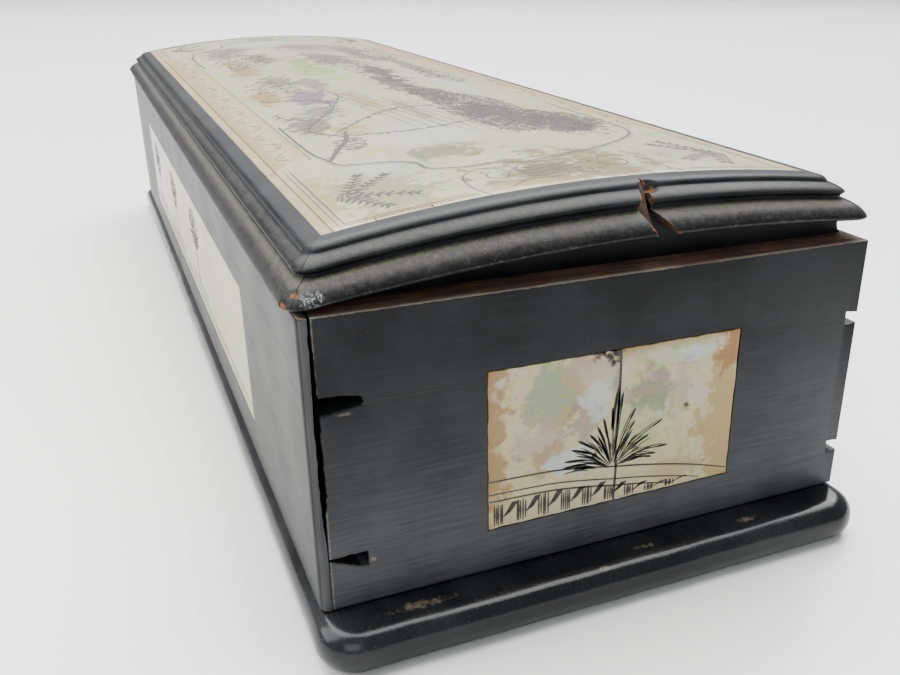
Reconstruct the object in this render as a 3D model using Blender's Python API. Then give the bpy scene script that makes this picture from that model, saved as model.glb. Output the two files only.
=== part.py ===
"""Inlaid wooden box: an ebonised case with an arched lid on two brass butt hinges, set with engraved pearl.

Metres, +Z up. The origin is the middle of the base plate's underside, +X runs towards the end board whose
dovetail sockets stand empty, and -Y is the front. The lid is closed, and stands a little proud at the back.
"""

import math

import bmesh
import bpy

MM = 0.001
GAP = 0.3 * MM

# The case, a box of four boards on a wider base plate
CASE_HALF_LENGTH = 154.2 * MM
CASE_HALF_WIDTH = 50.3 * MM
BASE_THICKNESS = 7.6 * MM
BASE_END_OVERHANG = 8.6 * MM
BASE_SIDE_OVERHANG = 1.9 * MM
BASE_CORNER_RADIUS = 7.0 * MM
BASE_EDGE_RADIUS = 3.4 * MM
CASE_BOTTOM = BASE_THICKNESS + GAP
LEDGE = BASE_THICKNESS + 49.1 * MM
LONG_BOARD_THICKNESS = 8.0 * MM
END_BOARD_THICKNESS = 9.0 * MM
LAP_THICKNESS = 1.8 * MM
LAP_CORNER_RADIUS = 1.5 * MM

# The rebate round the top: an outer ledge that the lid comes down on, and a rim inside it
SIDE_LEDGE_WIDTH = 5.0 * MM
END_LEDGE_WIDTH = 6.2 * MM
SIDE_RIM_HEIGHT = 2.0 * MM
RIM_CLEARANCE = 0.7 * MM

# Dovetail sockets and pins, two to a corner, narrow at the corner and wide inwards
SOCKET_HEIGHTS = (9.0 * MM, 35.2 * MM)
SOCKET_NARROW = 2.0 * MM
SOCKET_WIDE = 3.4 * MM
FRONT_SOCKET_DEPTH = 6.8 * MM
BROKEN_BACK_SOCKET_DEPTH = 3.1 * MM

# The lid: a panel framed by moulded rails, all following one arch across the width
LID_HALF_LENGTH = CASE_HALF_LENGTH + 1.2 * MM
LID_HALF_WIDTH = CASE_HALF_WIDTH + 1.5 * MM
LID_CORNER_RADIUS = 4.0 * MM
LEAST_CORNER_RADIUS = 0.3 * MM
LID_RISE = 4.6 * MM
LID_FRONT_GAP = 0.3 * MM
LID_BACK_LIFT = 2.8 * MM
END_SPREAD = 1.35
SOFFIT = 1.8 * MM
PANEL_BED = 5.2 * MM
PEARL_TOP = 6.3 * MM
RAIL_WIDTH = 8.3 * MM
MITRE_SETBACK = 0.21 * MM
ARCH_STEPS = 12

# A rail's section: how far in from the outer lip and how far above its lower edge, from the top inwards
RAIL_SECTION = (
    (8.3, 6.3), (6.2, 6.25), (5.2, 5.9), (4.7, 5.3), (4.7, 5.0),
    (3.4, 4.95), (2.8, 4.5), (2.8, 4.0), (3.7, 3.7), (3.9, 3.2), (3.5, 2.8),
    (2.0, 2.65), (0.8, 2.2), (0.1, 1.4), (0.0, 0.9), (0.3, 0.3), (0.9, 0.0),
    (5.0, 0.0), (5.0, 1.8), (8.3, 1.8),
)
RAIL_SECTION_HEIGHT = 6.3 * MM

# The right end rail is broken through, and its halves stand apart in a ragged V
BREAK_FRONT = 4.4 * MM
BREAK_BACK_AT_TOP = 5.0 * MM
BREAK_BACK_AT_LIP = 10.4 * MM

# Pearl plates, each laid in a bed a little larger than itself
PEARL_THICKNESS = 0.8 * MM
PEARL_SEAM = 0.3 * MM
PANEL_PEARL_BOTTOM = BASE_THICKNESS + 8.2 * MM
PANEL_PEARL_HEIGHT = 28.3 * MM
END_PEARL_LOW = -22.2 * MM
END_PEARL_HIGH = 24.6 * MM
FRONT_PEARL_HALF_LENGTH = 100.0 * MM
FRONT_PEARL_COUNT = 4

# The lid's pearl field, measured along the length and across the width
FIELD_HALF_LENGTH = LID_HALF_LENGTH - RAIL_WIDTH * END_SPREAD
FIELD_HALF_WIDTH = LID_HALF_WIDTH - RAIL_WIDTH
STRINGING_WIDTH = 1.9 * MM
STRINGING_SEAMS = (30.6 * MM, 99.8 * MM)
END_STRINGING = (-35.0 * MM, -26.0 * MM)
END_STRINGING_WIDTH = 1.4 * MM
SCENE_HALF_LENGTH = 99.8 * MM
SCENE_HALF_WIDTH = 34.0 * MM
SCENE_COLUMNS = 3
MEDALLION_HALF_WIDTH = 17.0 * MM

# Hinges, with their axis just outside the back of the ledge
HINGE_POSITIONS = (-88.0 * MM, 88.0 * MM)
HINGE_LENGTH = 24.0 * MM
HINGE_MIDDLE = 8.0 * MM
HINGE_Y = CASE_HALF_WIDTH + 2.9 * MM
HINGE_Z = LEDGE + 1.7 * MM
BARREL_RADIUS = 1.25 * MM
BORE_RADIUS = 0.68 * MM
PIN_RADIUS = 0.6 * MM
LEAF_THICKNESS = 0.8 * MM
BARREL_CLEARANCE = 0.45 * MM
LEAF_INNER_Y = CASE_HALF_WIDTH - 4.4 * MM
LID_LEAF_INNER_Y = CASE_HALF_WIDTH - 3.3 * MM
LEAF_NOTCH_Y = HINGE_Y - BARREL_RADIUS - BARREL_CLEARANCE
SCREW_SPACING = 15.0 * MM
SCREW_RADIUS = 0.6 * MM
SCREW_HEAD_RADIUS = 1.0 * MM
SCREW_HEAD_THICKNESS = 0.5 * MM
CASE_SCREW_LENGTH = 3.6 * MM
LID_SCREW_LENGTH = 2.6 * MM
SCREW_SUNK = 0.1 * MM
SCREW_Y = CASE_HALF_WIDTH - 1.4 * MM
SCREW_SIDES = 10
BARREL_SIDES = 16
LEAF_TOP_AT_AXIS = HINGE_Z + BARREL_RADIUS * 0.9
PIN_STANDS_OUT = 0.4 * MM

# How far tools and joined pieces reach past or into what they meet
PAST_AXIS = 2.0 * MM
ABOVE_CASE_LEAF = 5.0 * MM
ABOVE_LID_LEAF = 6.0 * MM
CASE_HOLE_DEPTH = 4.0 * MM
PIN_INTO_LAP = 0.5 * MM
PIN_INTO_BOARD = 0.2 * MM
SOCKET_REACH = 2.0 * MM
RIM_OVERLAP = 4.0 * MM
ABOVE_LID = 20.0 * MM
LAP_TOOL_X = CASE_HALF_LENGTH * 1.1
LAP_TOOL_TOP = LEDGE * 1.2
LEAST_SLAB_STEP = 9.0 * MM


def finish(name, colour, roughness, metallic=0.0):
    material = bpy.data.materials.new(name)
    material.use_nodes = True
    shader = material.node_tree.nodes["Principled BSDF"]
    shader.inputs["Base Color"].default_value = (*colour, 1.0)
    shader.inputs["Roughness"].default_value = roughness
    shader.inputs["Metallic"].default_value = metallic
    material.diffuse_color = (*colour, 1.0)
    return material


def add_object(name, mesh_in_progress, material, parent=None):
    bmesh.ops.recalc_face_normals(mesh_in_progress, faces=mesh_in_progress.faces)
    mesh = bpy.data.meshes.new(name)
    mesh_in_progress.to_mesh(mesh)
    mesh_in_progress.free()
    if material:
        mesh.materials.append(material)
    thing = bpy.data.objects.new(name, mesh)
    bpy.context.scene.collection.objects.link(thing)
    if parent:
        mesh.transform(parent.matrix_world.inverted())
        thing.parent = parent
    return thing


def prism(name, outline, axis, low, high, material=None, parent=None):
    """An outline in the two other axes, in X, Y, Z order, carried along one axis from low to high."""
    form = bmesh.new()
    ends = []
    for place in (low, high):
        points = [list(point) for point in outline]
        for point in points:
            point.insert(axis, place)
        ends.append([form.verts.new(point) for point in points])
    form.faces.new(ends[0])
    form.faces.new(list(reversed(ends[1])))
    count = len(outline)
    for i in range(count):
        j = (i + 1) % count
        form.faces.new((ends[0][i], ends[0][j], ends[1][j], ends[1][i]))
    return add_object(name, form, material, parent)


def box(name, low, high, material=None, parent=None):
    outline = ((low[1], low[2]), (high[1], low[2]), (high[1], high[2]), (low[1], high[2]))
    return prism(name, outline, 0, low[0], high[0], material, parent)


def arc(centre, radius, start, end, steps):
    angles = [math.radians(start + (end - start) * i / steps) for i in range(steps + 1)]
    return [(centre[0] + radius * math.cos(a), centre[1] + radius * math.sin(a)) for a in angles]


def circle(centre, radius, sides):
    return arc(centre, radius, 0.0, 360.0, sides)[:-1]


def as_tool(thing):
    thing.hide_render = True
    thing.display_type = "WIRE"
    return thing


def combine(thing, tool, operation):
    modifier = thing.modifiers.new(operation.title(), "BOOLEAN")
    modifier.operation = operation
    modifier.object = as_tool(tool)


def cut(thing, tool):
    combine(thing, tool, "DIFFERENCE")


def join(thing, tool):
    combine(thing, tool, "UNION")


def lid_height(y):
    """The height of the lid's lower edge above the floor, over a line across its width."""
    across = y / LID_HALF_WIDTH
    lift = LID_BACK_LIFT * (across + 1.0) / 2.0
    return LEDGE + LID_FRONT_GAP + lift + LID_RISE * (1.0 - across * across)


def base_plate(material):
    """One plate with round corners in plan and a rounded edge, built as a stack of inset outlines."""
    half_length = CASE_HALF_LENGTH + BASE_END_OVERHANG
    half_width = CASE_HALF_WIDTH + BASE_SIDE_OVERHANG
    edge_steps = 3
    levels = []
    for i in range(edge_steps + 1):
        angle = math.radians(90.0 * i / edge_steps)
        inset = BASE_EDGE_RADIUS * (1.0 - math.sin(angle))
        levels.append((inset, BASE_EDGE_RADIUS * (1.0 - math.cos(angle))))
    levels += [(inset, BASE_THICKNESS - height) for inset, height in reversed(levels)]
    form = bmesh.new()
    rings = []
    for inset, height in levels:
        ring = []
        for quarter, (sx, sy) in enumerate(((1, 1), (-1, 1), (-1, -1), (1, -1))):
            radius = BASE_CORNER_RADIUS - inset
            centre = (sx * (half_length - BASE_CORNER_RADIUS), sy * (half_width - BASE_CORNER_RADIUS))
            ring += arc(centre, radius, 90.0 * quarter, 90.0 * quarter + 90.0, 5)
        rings.append([form.verts.new((x, y, height)) for x, y in ring])
    form.faces.new(rings[0])
    form.faces.new(rings[-1])
    for lower, upper in zip(rings, rings[1:]):
        for i in range(len(lower)):
            j = (i + 1) % len(lower)
            form.faces.new((lower[i], lower[j], upper[j], upper[i]))
    return add_object("base_plate", form, material)


def dovetail(name, end, side, outer_y, depth, height, slack=0.0, material=None):
    """A dovetail through an end board: narrow at outer_y, wide at its depth. slack makes a pin thinner."""
    narrow = SOCKET_NARROW / 2.0 - slack
    wide = SOCKET_WIDE / 2.0 - slack
    middle = BASE_THICKNESS + height
    inner_y = outer_y - side * depth
    outline = (
        (outer_y, middle - narrow), (outer_y, middle + narrow),
        (inner_y, middle + wide), (inner_y, middle - wide),
    )
    reach = (CASE_HALF_LENGTH - END_BOARD_THICKNESS - SOCKET_REACH, CASE_HALF_LENGTH)
    low, high = (reach if end > 0 else (-reach[1], -reach[0]))
    return prism(name, outline, 0, low, high, material)


def long_board(name, side, material):
    """The front (side -1) or back (side 1) board, with its rim and, at the left end, its pins."""
    outer = side * CASE_HALF_WIDTH
    inner = outer - side * LONG_BOARD_THICKNESS
    rim = outer - side * SIDE_LEDGE_WIDTH
    outline = (
        (outer, CASE_BOTTOM), (outer, LEDGE), (rim, LEDGE), (rim, LEDGE + SIDE_RIM_HEIGHT),
        (inner, LEDGE + SIDE_RIM_HEIGHT), (inner, CASE_BOTTOM),
    )
    between = CASE_HALF_LENGTH - END_BOARD_THICKNESS - GAP
    lap_inner = outer - side * (LAP_THICKNESS - GAP)
    if side < 0:
        board = prism(name, outline, 0, -CASE_HALF_LENGTH, CASE_HALF_LENGTH, material)
        for end in (-1, 1):
            low = (min(end * between, end * LAP_TOOL_X), lap_inner, 0.0)
            high = (max(end * between, end * LAP_TOOL_X), 0.0, LAP_TOOL_TOP)
            cut(board, box(f"{name}_lap_tool_{end + 1}", low, high))
            corner = (end * CASE_HALF_LENGTH, outer)
            centre = (corner[0] - end * LAP_CORNER_RADIUS, corner[1] + LAP_CORNER_RADIUS)
            start = 180.0 if end < 0 else 270.0
            round_points = arc(centre, LAP_CORNER_RADIUS, start, start + 90.0, 3)
            outside = (corner[0] + end * MM, corner[1] - MM)
            if end < 0:
                outline_round = round_points + [(centre[0], outside[1]), outside, (outside[0], centre[1])]
            else:
                outline_round = round_points + [(outside[0], centre[1]), outside, (centre[0], outside[1])]
            tool = prism(f"{name}_round_tool_{end + 1}", outline_round, 2, 0.0, LAP_TOOL_TOP)
            cut(board, tool)
        pin_outer = lap_inner + side * PIN_INTO_LAP
        pin_depth = FRONT_SOCKET_DEPTH + PIN_INTO_BOARD
    else:
        board = prism(name, outline, 0, -between, between, material)
        pin_outer, pin_depth = outer, LONG_BOARD_THICKNESS
    for i, height in enumerate(SOCKET_HEIGHTS):
        join(board, dovetail(f"{name}_pin_{i}", -1, side, pin_outer, pin_depth, height, GAP))
    return board


def rim_top(y):
    return lid_height(y) + SOFFIT - RIM_CLEARANCE


def end_board(name, end, material):
    """An end board: a slab up to the ledge, and a rim inside it that rises with the lid's arch."""
    front = -CASE_HALF_WIDTH + LAP_THICKNESS
    inner = CASE_HALF_LENGTH - END_BOARD_THICKNESS
    slab = ((front, CASE_BOTTOM), (CASE_HALF_WIDTH, CASE_BOTTOM), (CASE_HALF_WIDTH, LEDGE), (front, LEDGE))
    low, high = (inner, CASE_HALF_LENGTH) if end > 0 else (-CASE_HALF_LENGTH, -inner)
    board = prism(name, slab, 0, low, high, material)
    half = CASE_HALF_WIDTH - SIDE_LEDGE_WIDTH
    rim_outline = [(half, LEDGE - RIM_OVERLAP), (-half, LEDGE - RIM_OVERLAP)]
    for i in range(ARCH_STEPS + 1):
        y = -half + 2.0 * half * i / ARCH_STEPS
        rim_outline.append((y, rim_top(y)))
    face = CASE_HALF_LENGTH - END_LEDGE_WIDTH
    low, high = (inner, face) if end > 0 else (-face, -inner)
    join(board, prism(f"{name}_rim", rim_outline, 0, low, high))
    front_depth = FRONT_SOCKET_DEPTH + SOCKET_REACH
    for i, height in enumerate(SOCKET_HEIGHTS):
        front_tool = f"{name}_front_socket_{i}"
        cut(board, dovetail(front_tool, end, -1, front - SOCKET_REACH, front_depth, height))
        back_depth = BROKEN_BACK_SOCKET_DEPTH if end > 0 else LONG_BOARD_THICKNESS + GAP
        cut(board, dovetail(f"{name}_back_socket_{i}", end, 1, CASE_HALF_WIDTH, back_depth, height))
    return board


def end_pearl(end, board, material):
    """Two plates side by side in one bed in an end board."""
    face = end * CASE_HALF_LENGTH
    under = face - end * (PEARL_THICKNESS + GAP)
    low_z = PANEL_PEARL_BOTTOM
    high_z = low_z + PANEL_PEARL_HEIGHT
    bed_low = (min(under, face + end * MM), END_PEARL_LOW - GAP, low_z - GAP)
    bed_high = (max(under, face + end * MM), END_PEARL_HIGH + GAP, high_z + GAP)
    cut(board, box(f"{board.name}_bed", bed_low, bed_high))
    middle = (END_PEARL_LOW + END_PEARL_HIGH) / 2.0
    seat = face - end * PEARL_THICKNESS
    side = "right" if end > 0 else "left"
    spans = (
        ("front", END_PEARL_LOW, middle - PEARL_SEAM / 2.0),
        ("back", middle + PEARL_SEAM / 2.0, END_PEARL_HIGH),
    )
    for half, low_y, high_y in spans:
        low = (min(seat, face), low_y, low_z)
        high = (max(seat, face), high_y, high_z)
        box(f"{side}_end_pearl_{half}", low, high, material)


def front_pearl(board, material):
    """A row of equal plates in one bed in the front board."""
    face = -CASE_HALF_WIDTH
    under = face + PEARL_THICKNESS + GAP
    low_z = PANEL_PEARL_BOTTOM
    high_z = low_z + PANEL_PEARL_HEIGHT
    reach = FRONT_PEARL_HALF_LENGTH + GAP
    cut(board, box("front_bed", (-reach, face - MM, low_z - GAP), (reach, under, high_z + GAP)))
    width = 2.0 * FRONT_PEARL_HALF_LENGTH / FRONT_PEARL_COUNT
    for i in range(FRONT_PEARL_COUNT):
        low_x = -FRONT_PEARL_HALF_LENGTH + width * i + PEARL_SEAM / 2.0
        high_x = low_x + width - PEARL_SEAM
        low = (low_x, face, low_z)
        high = (high_x, face + PEARL_THICKNESS, high_z)
        box(f"front_pearl_{i + 1}", low, high, material)


def rail_outline(inset):
    """Half sizes and corner radius of the lid's outline, drawn in by an inset that the ends widen."""
    half_x = LID_HALF_LENGTH - inset * END_SPREAD
    half_y = LID_HALF_WIDTH - inset
    return half_x, half_y, max(LID_CORNER_RADIUS - inset, LEAST_CORNER_RADIUS)


def long_rail_path(side, inset):
    half_x, half_y, radius = rail_outline(inset)
    centre_x, centre_y = half_x - radius, side * (half_y - radius)
    left = arc((-centre_x + MITRE_SETBACK, centre_y), radius, side * 135.0, side * 90.0, 2)
    right = arc((centre_x - MITRE_SETBACK, centre_y), radius, side * 90.0, side * 45.0, 2)
    return left + right


def end_rail_path(end, inset, low_y=None, high_y=None, steps=ARCH_STEPS):
    """The line of one end rail at an inset. low_y or high_y ends it at a break instead of a mitre."""
    half_x, half_y, radius = rail_outline(inset)
    centre_x, centre_y = half_x - radius, half_y - radius - MITRE_SETBACK
    start = -centre_y if low_y is None else low_y
    stop = centre_y if high_y is None else high_y
    path = []
    if low_y is None:
        path += arc((centre_x, -centre_y), radius, -45.0, 0.0, 2)[:-1]
    path += [(half_x, start + (stop - start) * i / steps) for i in range(steps + 1)]
    if high_y is None:
        path += arc((centre_x, centre_y), radius, 0.0, 45.0, 2)[1:]
    return [(end * x, y) for x, y in path]


def rail(name, path_at, material, parent):
    """A moulded rail: path_at gives its line in plan at a section point's inset and height."""
    form = bmesh.new()
    lines = []
    for inset, height in RAIL_SECTION:
        path = path_at(inset * MM, height * MM)
        lines.append([form.verts.new((x, y, lid_height(y) + height * MM)) for x, y in path])
    for i in range(len(lines)):
        line, other = lines[i], lines[(i + 1) % len(lines)]
        for j in range(len(line) - 1):
            form.faces.new((line[j], line[j + 1], other[j + 1], other[j]))
    for end in (0, -1):
        form.faces.new([line[end] for line in lines])
    return add_object(name, form, material, parent)


def break_back(height):
    """Where the back half of the broken rail starts, at a height in its section."""
    part = height / RAIL_SECTION_HEIGHT
    return BREAK_BACK_AT_LIP + (BREAK_BACK_AT_TOP - BREAK_BACK_AT_LIP) * part


def lid_slab(name, low_x, high_x, low_y, high_y, low_w, high_w, material, parent):
    """A piece of the lid between two heights above its lower edge, following the arch."""
    steps = max(1, math.ceil((high_y - low_y) / LEAST_SLAB_STEP))
    across = [low_y + (high_y - low_y) * i / steps for i in range(steps + 1)]
    outline = [(y, lid_height(y) + low_w) for y in across]
    outline += [(y, lid_height(y) + high_w) for y in reversed(across)]
    return prism(name, outline, 0, low_x, high_x, material, parent)


def lid_pearl(name, low_x, high_x, low_y, high_y, material, parent):
    half = PEARL_SEAM / 2.0
    low_w = PEARL_TOP - PEARL_THICKNESS
    return lid_slab(
        name, low_x + half, high_x - half, low_y + half, high_y - half, low_w, PEARL_TOP, material, parent
    )


def lid_pearl_field(material, parent):
    """Stringing round the edge, side plates, corner plates, end medallions and the middle scene."""
    inner_width = FIELD_HALF_WIDTH - STRINGING_WIDTH
    seams = (-FIELD_HALF_LENGTH, *STRINGING_SEAMS, FIELD_HALF_LENGTH)
    for side, where in ((-1, "front"), (1, "back")):
        low_y = min(side * FIELD_HALF_WIDTH, side * inner_width)
        high_y = max(side * FIELD_HALF_WIDTH, side * inner_width)
        for i in range(len(seams) - 1):
            name = f"stringing_{where}_{i + 1}"
            lid_pearl(name, seams[i], seams[i + 1], low_y, high_y, material, parent)
    column = 2.0 * SCENE_HALF_LENGTH / SCENE_COLUMNS
    for i in range(SCENE_COLUMNS):
        low_x = -SCENE_HALF_LENGTH + column * i
        high_x = low_x + column
        bands = (
            ("border_pearl_front", -inner_width, -SCENE_HALF_WIDTH),
            ("scene_pearl_front", -SCENE_HALF_WIDTH, 0.0),
            ("scene_pearl_back", 0.0, SCENE_HALF_WIDTH),
            ("border_pearl_back", SCENE_HALF_WIDTH, inner_width),
        )
        for name, low_y, high_y in bands:
            lid_pearl(f"{name}_{i + 1}", low_x, high_x, low_y, high_y, material, parent)
    for end, where in ((-1, "left"), (1, "right")):
        low_x = min(end * SCENE_HALF_LENGTH, end * FIELD_HALF_LENGTH)
        high_x = max(end * SCENE_HALF_LENGTH, end * FIELD_HALF_LENGTH)
        half = MEDALLION_HALF_WIDTH
        lid_pearl(f"medallion_pearl_{where}", low_x, high_x, -half, half, material, parent)
        lid_pearl(f"corner_pearl_{where}_back", low_x, high_x, half, inner_width, material, parent)
        name = f"corner_pearl_{where}_front"
        corner = lid_pearl(name, low_x, high_x, -inner_width, -half, material, parent)
        edge = end * (FIELD_HALF_LENGTH - END_STRINGING_WIDTH)
        low_x, high_x = min(edge, end * FIELD_HALF_LENGTH), max(edge, end * FIELD_HALF_LENGTH)
        lid_pearl(f"stringing_{where}_end", low_x, high_x, *END_STRINGING, material, parent)
        tool_low = (low_x - MM if end < 0 else low_x, END_STRINGING[0], LEDGE)
        tool_high = (high_x + MM if end > 0 else high_x, END_STRINGING[1], LEDGE + ABOVE_LID)
        tool = box(f"stringing_{where}_end_tool", tool_low, tool_high, None, parent)
        cut(corner, tool)


def barrel(name, low_x, high_x, radius, material=None, parent=None):
    return prism(name, circle((HINGE_Y, HINGE_Z), radius, BARREL_SIDES), 0, low_x, high_x, material, parent)


def screw(name, x, head_z, reach, material, parent):
    """A wood screw at x with its head's outer face at head_z; reach is its length, negative downwards."""
    form = bmesh.new()
    head_end = head_z + math.copysign(SCREW_HEAD_THICKNESS, reach)
    tip = head_z + reach
    levels = ((SCREW_HEAD_RADIUS, head_z), (SCREW_RADIUS, head_end), (SCREW_RADIUS, tip))
    rings = []
    for radius, z in levels:
        rings.append([form.verts.new((px, py, z)) for px, py in circle((x, SCREW_Y), radius, SCREW_SIDES)])
    form.faces.new(rings[0])
    form.faces.new(rings[-1])
    for lower, upper in zip(rings, rings[1:]):
        for i in range(len(lower)):
            j = (i + 1) % len(lower)
            form.faces.new((lower[i], lower[j], upper[j], upper[i]))
    return add_object(name, form, material, parent)


def screw_hole(thing, name, x, low_z, high_z, radius, parent=None):
    cut(thing, prism(name, circle((x, SCREW_Y), radius, SCREW_SIDES), 2, low_z, high_z, None, parent))


def hinge(where, middle_x, board, lid_rail, brass, pivot):
    """One butt hinge: a leaf on the ledge, a leaf under the lid, the pin, and two screws in each leaf."""
    low_x, high_x = middle_x - HINGE_LENGTH / 2.0, middle_x + HINGE_LENGTH / 2.0
    lid_low, lid_high = middle_x - HINGE_MIDDLE / 2.0, middle_x + HINGE_MIDDLE / 2.0
    leaf_low = LEDGE + GAP
    leaf_high = leaf_low + LEAF_THICKNESS
    case_leaf = box(
        f"{where}_hinge_case_leaf", (low_x, LEAF_INNER_Y, leaf_low), (high_x, HINGE_Y, leaf_high), brass
    )
    join(case_leaf, barrel(f"{where}_case_barrel", low_x, high_x, BARREL_RADIUS))
    notch_low = (lid_low - GAP, LEAF_NOTCH_Y, LEDGE - MM)
    notch_high = (lid_high + GAP, HINGE_Y + PAST_AXIS, LEDGE + ABOVE_CASE_LEAF)
    cut(case_leaf, box(f"{where}_case_notch", notch_low, notch_high))
    cut(case_leaf, barrel(f"{where}_case_bore", low_x - MM, high_x + MM, BORE_RADIUS))

    inner, outer = LID_LEAF_INNER_Y, HINGE_Y
    under = [(y, lid_height(y) - GAP) for y in (inner, LEAF_NOTCH_Y)]
    leaf_outline = under + [(outer, LEAF_TOP_AT_AXIS), (outer, LEAF_TOP_AT_AXIS - LEAF_THICKNESS)]
    leaf_outline += [(y, z - LEAF_THICKNESS) for y, z in reversed(under)]
    lid_leaf = prism(f"{where}_hinge_lid_leaf", leaf_outline, 0, low_x, high_x, brass, pivot)
    for side, low, high in ((0, low_x - MM, lid_low), (1, lid_high, high_x + MM)):
        tool_low = (low, LEAF_NOTCH_Y, LEDGE - MM)
        tool_high = (high, HINGE_Y + PAST_AXIS, LEDGE + ABOVE_LID_LEAF)
        cut(lid_leaf, box(f"{where}_lid_notch_{side}", tool_low, tool_high, None, pivot))
    join(lid_leaf, barrel(f"{where}_lid_barrel", lid_low, lid_high, BARREL_RADIUS, None, pivot))
    cut(lid_leaf, barrel(f"{where}_lid_bore", lid_low - MM, lid_high + MM, BORE_RADIUS, None, pivot))

    barrel(f"{where}_hinge_pin", low_x - PIN_STANDS_OUT, high_x + PIN_STANDS_OUT, PIN_RADIUS, brass)

    slack = SCREW_HEAD_RADIUS + GAP
    for i, side in enumerate((-1, 1)):
        x = middle_x + side * SCREW_SPACING / 2.0
        screw_hole(case_leaf, f"{where}_case_leaf_hole_{i}", x, leaf_low - MM, leaf_high + MM, slack)
        name = f"{where}_case_hole_{i}"
        screw_hole(board, name, x, LEDGE - CASE_HOLE_DEPTH, LEDGE + MM, SCREW_RADIUS + GAP)
        head_z = leaf_high - SCREW_SUNK
        screw(f"{where}_hinge_case_screw_{i + 1}", x, head_z, -CASE_SCREW_LENGTH, brass, None)
        lid_under = lid_height(SCREW_Y) - GAP
        leaf_under = lid_under - LEAF_THICKNESS
        screw_hole(lid_leaf, f"{where}_lid_leaf_hole_{i}", x, leaf_under - MM, lid_under + MM, slack, pivot)
        head_z = leaf_under + SCREW_SUNK
        hole_top = head_z + LID_SCREW_LENGTH + GAP
        name = f"{where}_lid_hole_{i}"
        screw_hole(lid_rail, name, x, lid_under - MM, hole_top, SCREW_RADIUS + GAP, pivot)
        screw(f"{where}_hinge_lid_screw_{i + 1}", x, head_z, LID_SCREW_LENGTH, brass, pivot)


def main():
    for thing in list(bpy.data.objects):
        bpy.data.objects.remove(thing, do_unlink=True)
    ebonised = finish("ebonised_wood", (0.025, 0.026, 0.028), 0.42)
    pearl = finish("mother_of_pearl", (0.72, 0.68, 0.56), 0.22)
    brass = finish("aged_brass", (0.42, 0.30, 0.13), 0.4, 1.0)

    pivot = bpy.data.objects.new("lid_pivot", None)
    pivot.location = (0.0, HINGE_Y, HINGE_Z)
    bpy.context.scene.collection.objects.link(pivot)
    bpy.context.view_layer.update()

    base_plate(ebonised)
    front = long_board("front_board", -1, ebonised)
    back = long_board("back_board", 1, ebonised)
    right = end_board("right_end_board", 1, ebonised)
    left = end_board("left_end_board", -1, ebonised)
    end_pearl(1, right, pearl)
    end_pearl(-1, left, pearl)
    front_pearl(front, pearl)

    rail("lid_front_rail", lambda inset, height: long_rail_path(-1, inset), ebonised, pivot)
    back_rail = rail("lid_back_rail", lambda inset, height: long_rail_path(1, inset), ebonised, pivot)
    rail("lid_left_rail", lambda inset, height: end_rail_path(-1, inset), ebonised, pivot)
    rail(
        "lid_right_rail_front",
        lambda inset, height: end_rail_path(1, inset, high_y=BREAK_FRONT, steps=ARCH_STEPS // 2),
        ebonised, pivot,
    )
    rail(
        "lid_right_rail_back",
        lambda inset, height: end_rail_path(1, inset, low_y=break_back(height), steps=ARCH_STEPS // 2),
        ebonised, pivot,
    )
    edge = RAIL_WIDTH + GAP
    half_x = LID_HALF_LENGTH - edge * END_SPREAD
    half_y = LID_HALF_WIDTH - edge
    lid_slab("lid_panel", -half_x, half_x, -half_y, half_y, SOFFIT, PANEL_BED, ebonised, pivot)
    lid_pearl_field(pearl, pivot)
    for where, middle_x in zip(("left", "right"), HINGE_POSITIONS):
        hinge(where, middle_x, back, back_rail, brass, pivot)


main()
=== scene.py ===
"""Looks of an inlaid wooden box: ebonised boards, a moulded lid, engraved pearl plates and brass hinges.

Shapes are worked out in millimetres and stored in metres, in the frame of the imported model. The case
stands on its base plate, +X points to the end whose dovetail sockets stand empty, and -Y is the front.
"""

import math
import random

import bmesh
import bpy
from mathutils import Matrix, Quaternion, Vector, noise


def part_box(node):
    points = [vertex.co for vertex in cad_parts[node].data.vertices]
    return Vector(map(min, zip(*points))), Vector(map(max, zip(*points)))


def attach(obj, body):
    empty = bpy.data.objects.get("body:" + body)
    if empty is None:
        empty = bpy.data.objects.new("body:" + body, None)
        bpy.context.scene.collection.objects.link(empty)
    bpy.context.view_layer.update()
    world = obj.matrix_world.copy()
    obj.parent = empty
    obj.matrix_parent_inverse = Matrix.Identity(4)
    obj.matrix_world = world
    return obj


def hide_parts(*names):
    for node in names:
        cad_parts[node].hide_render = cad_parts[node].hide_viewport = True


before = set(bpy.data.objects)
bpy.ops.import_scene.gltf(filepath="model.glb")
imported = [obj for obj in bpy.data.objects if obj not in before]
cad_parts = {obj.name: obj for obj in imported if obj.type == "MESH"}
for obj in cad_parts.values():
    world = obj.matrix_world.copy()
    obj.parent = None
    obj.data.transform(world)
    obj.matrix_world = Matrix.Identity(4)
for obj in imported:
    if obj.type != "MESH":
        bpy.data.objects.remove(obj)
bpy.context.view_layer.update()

bl_info = {
    "name": "Inlaid Box",
    "version": (1, 0, 0),
    "blender": (4, 5, 0),
    "location": "View3D > Sidebar > Inlaid Box",
    "description": "Builds the wood, pearl, engraving and hinges of an inlaid box round its packed model",
    "category": "Add Mesh",
}

MM = 0.001
MARKS = ("wear", "dust", "bare", "edge", "plate")


def node_box(name):
    """A node's lowest and highest corners, in millimetres."""
    low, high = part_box(name)
    return low / MM, high / MM


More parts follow.
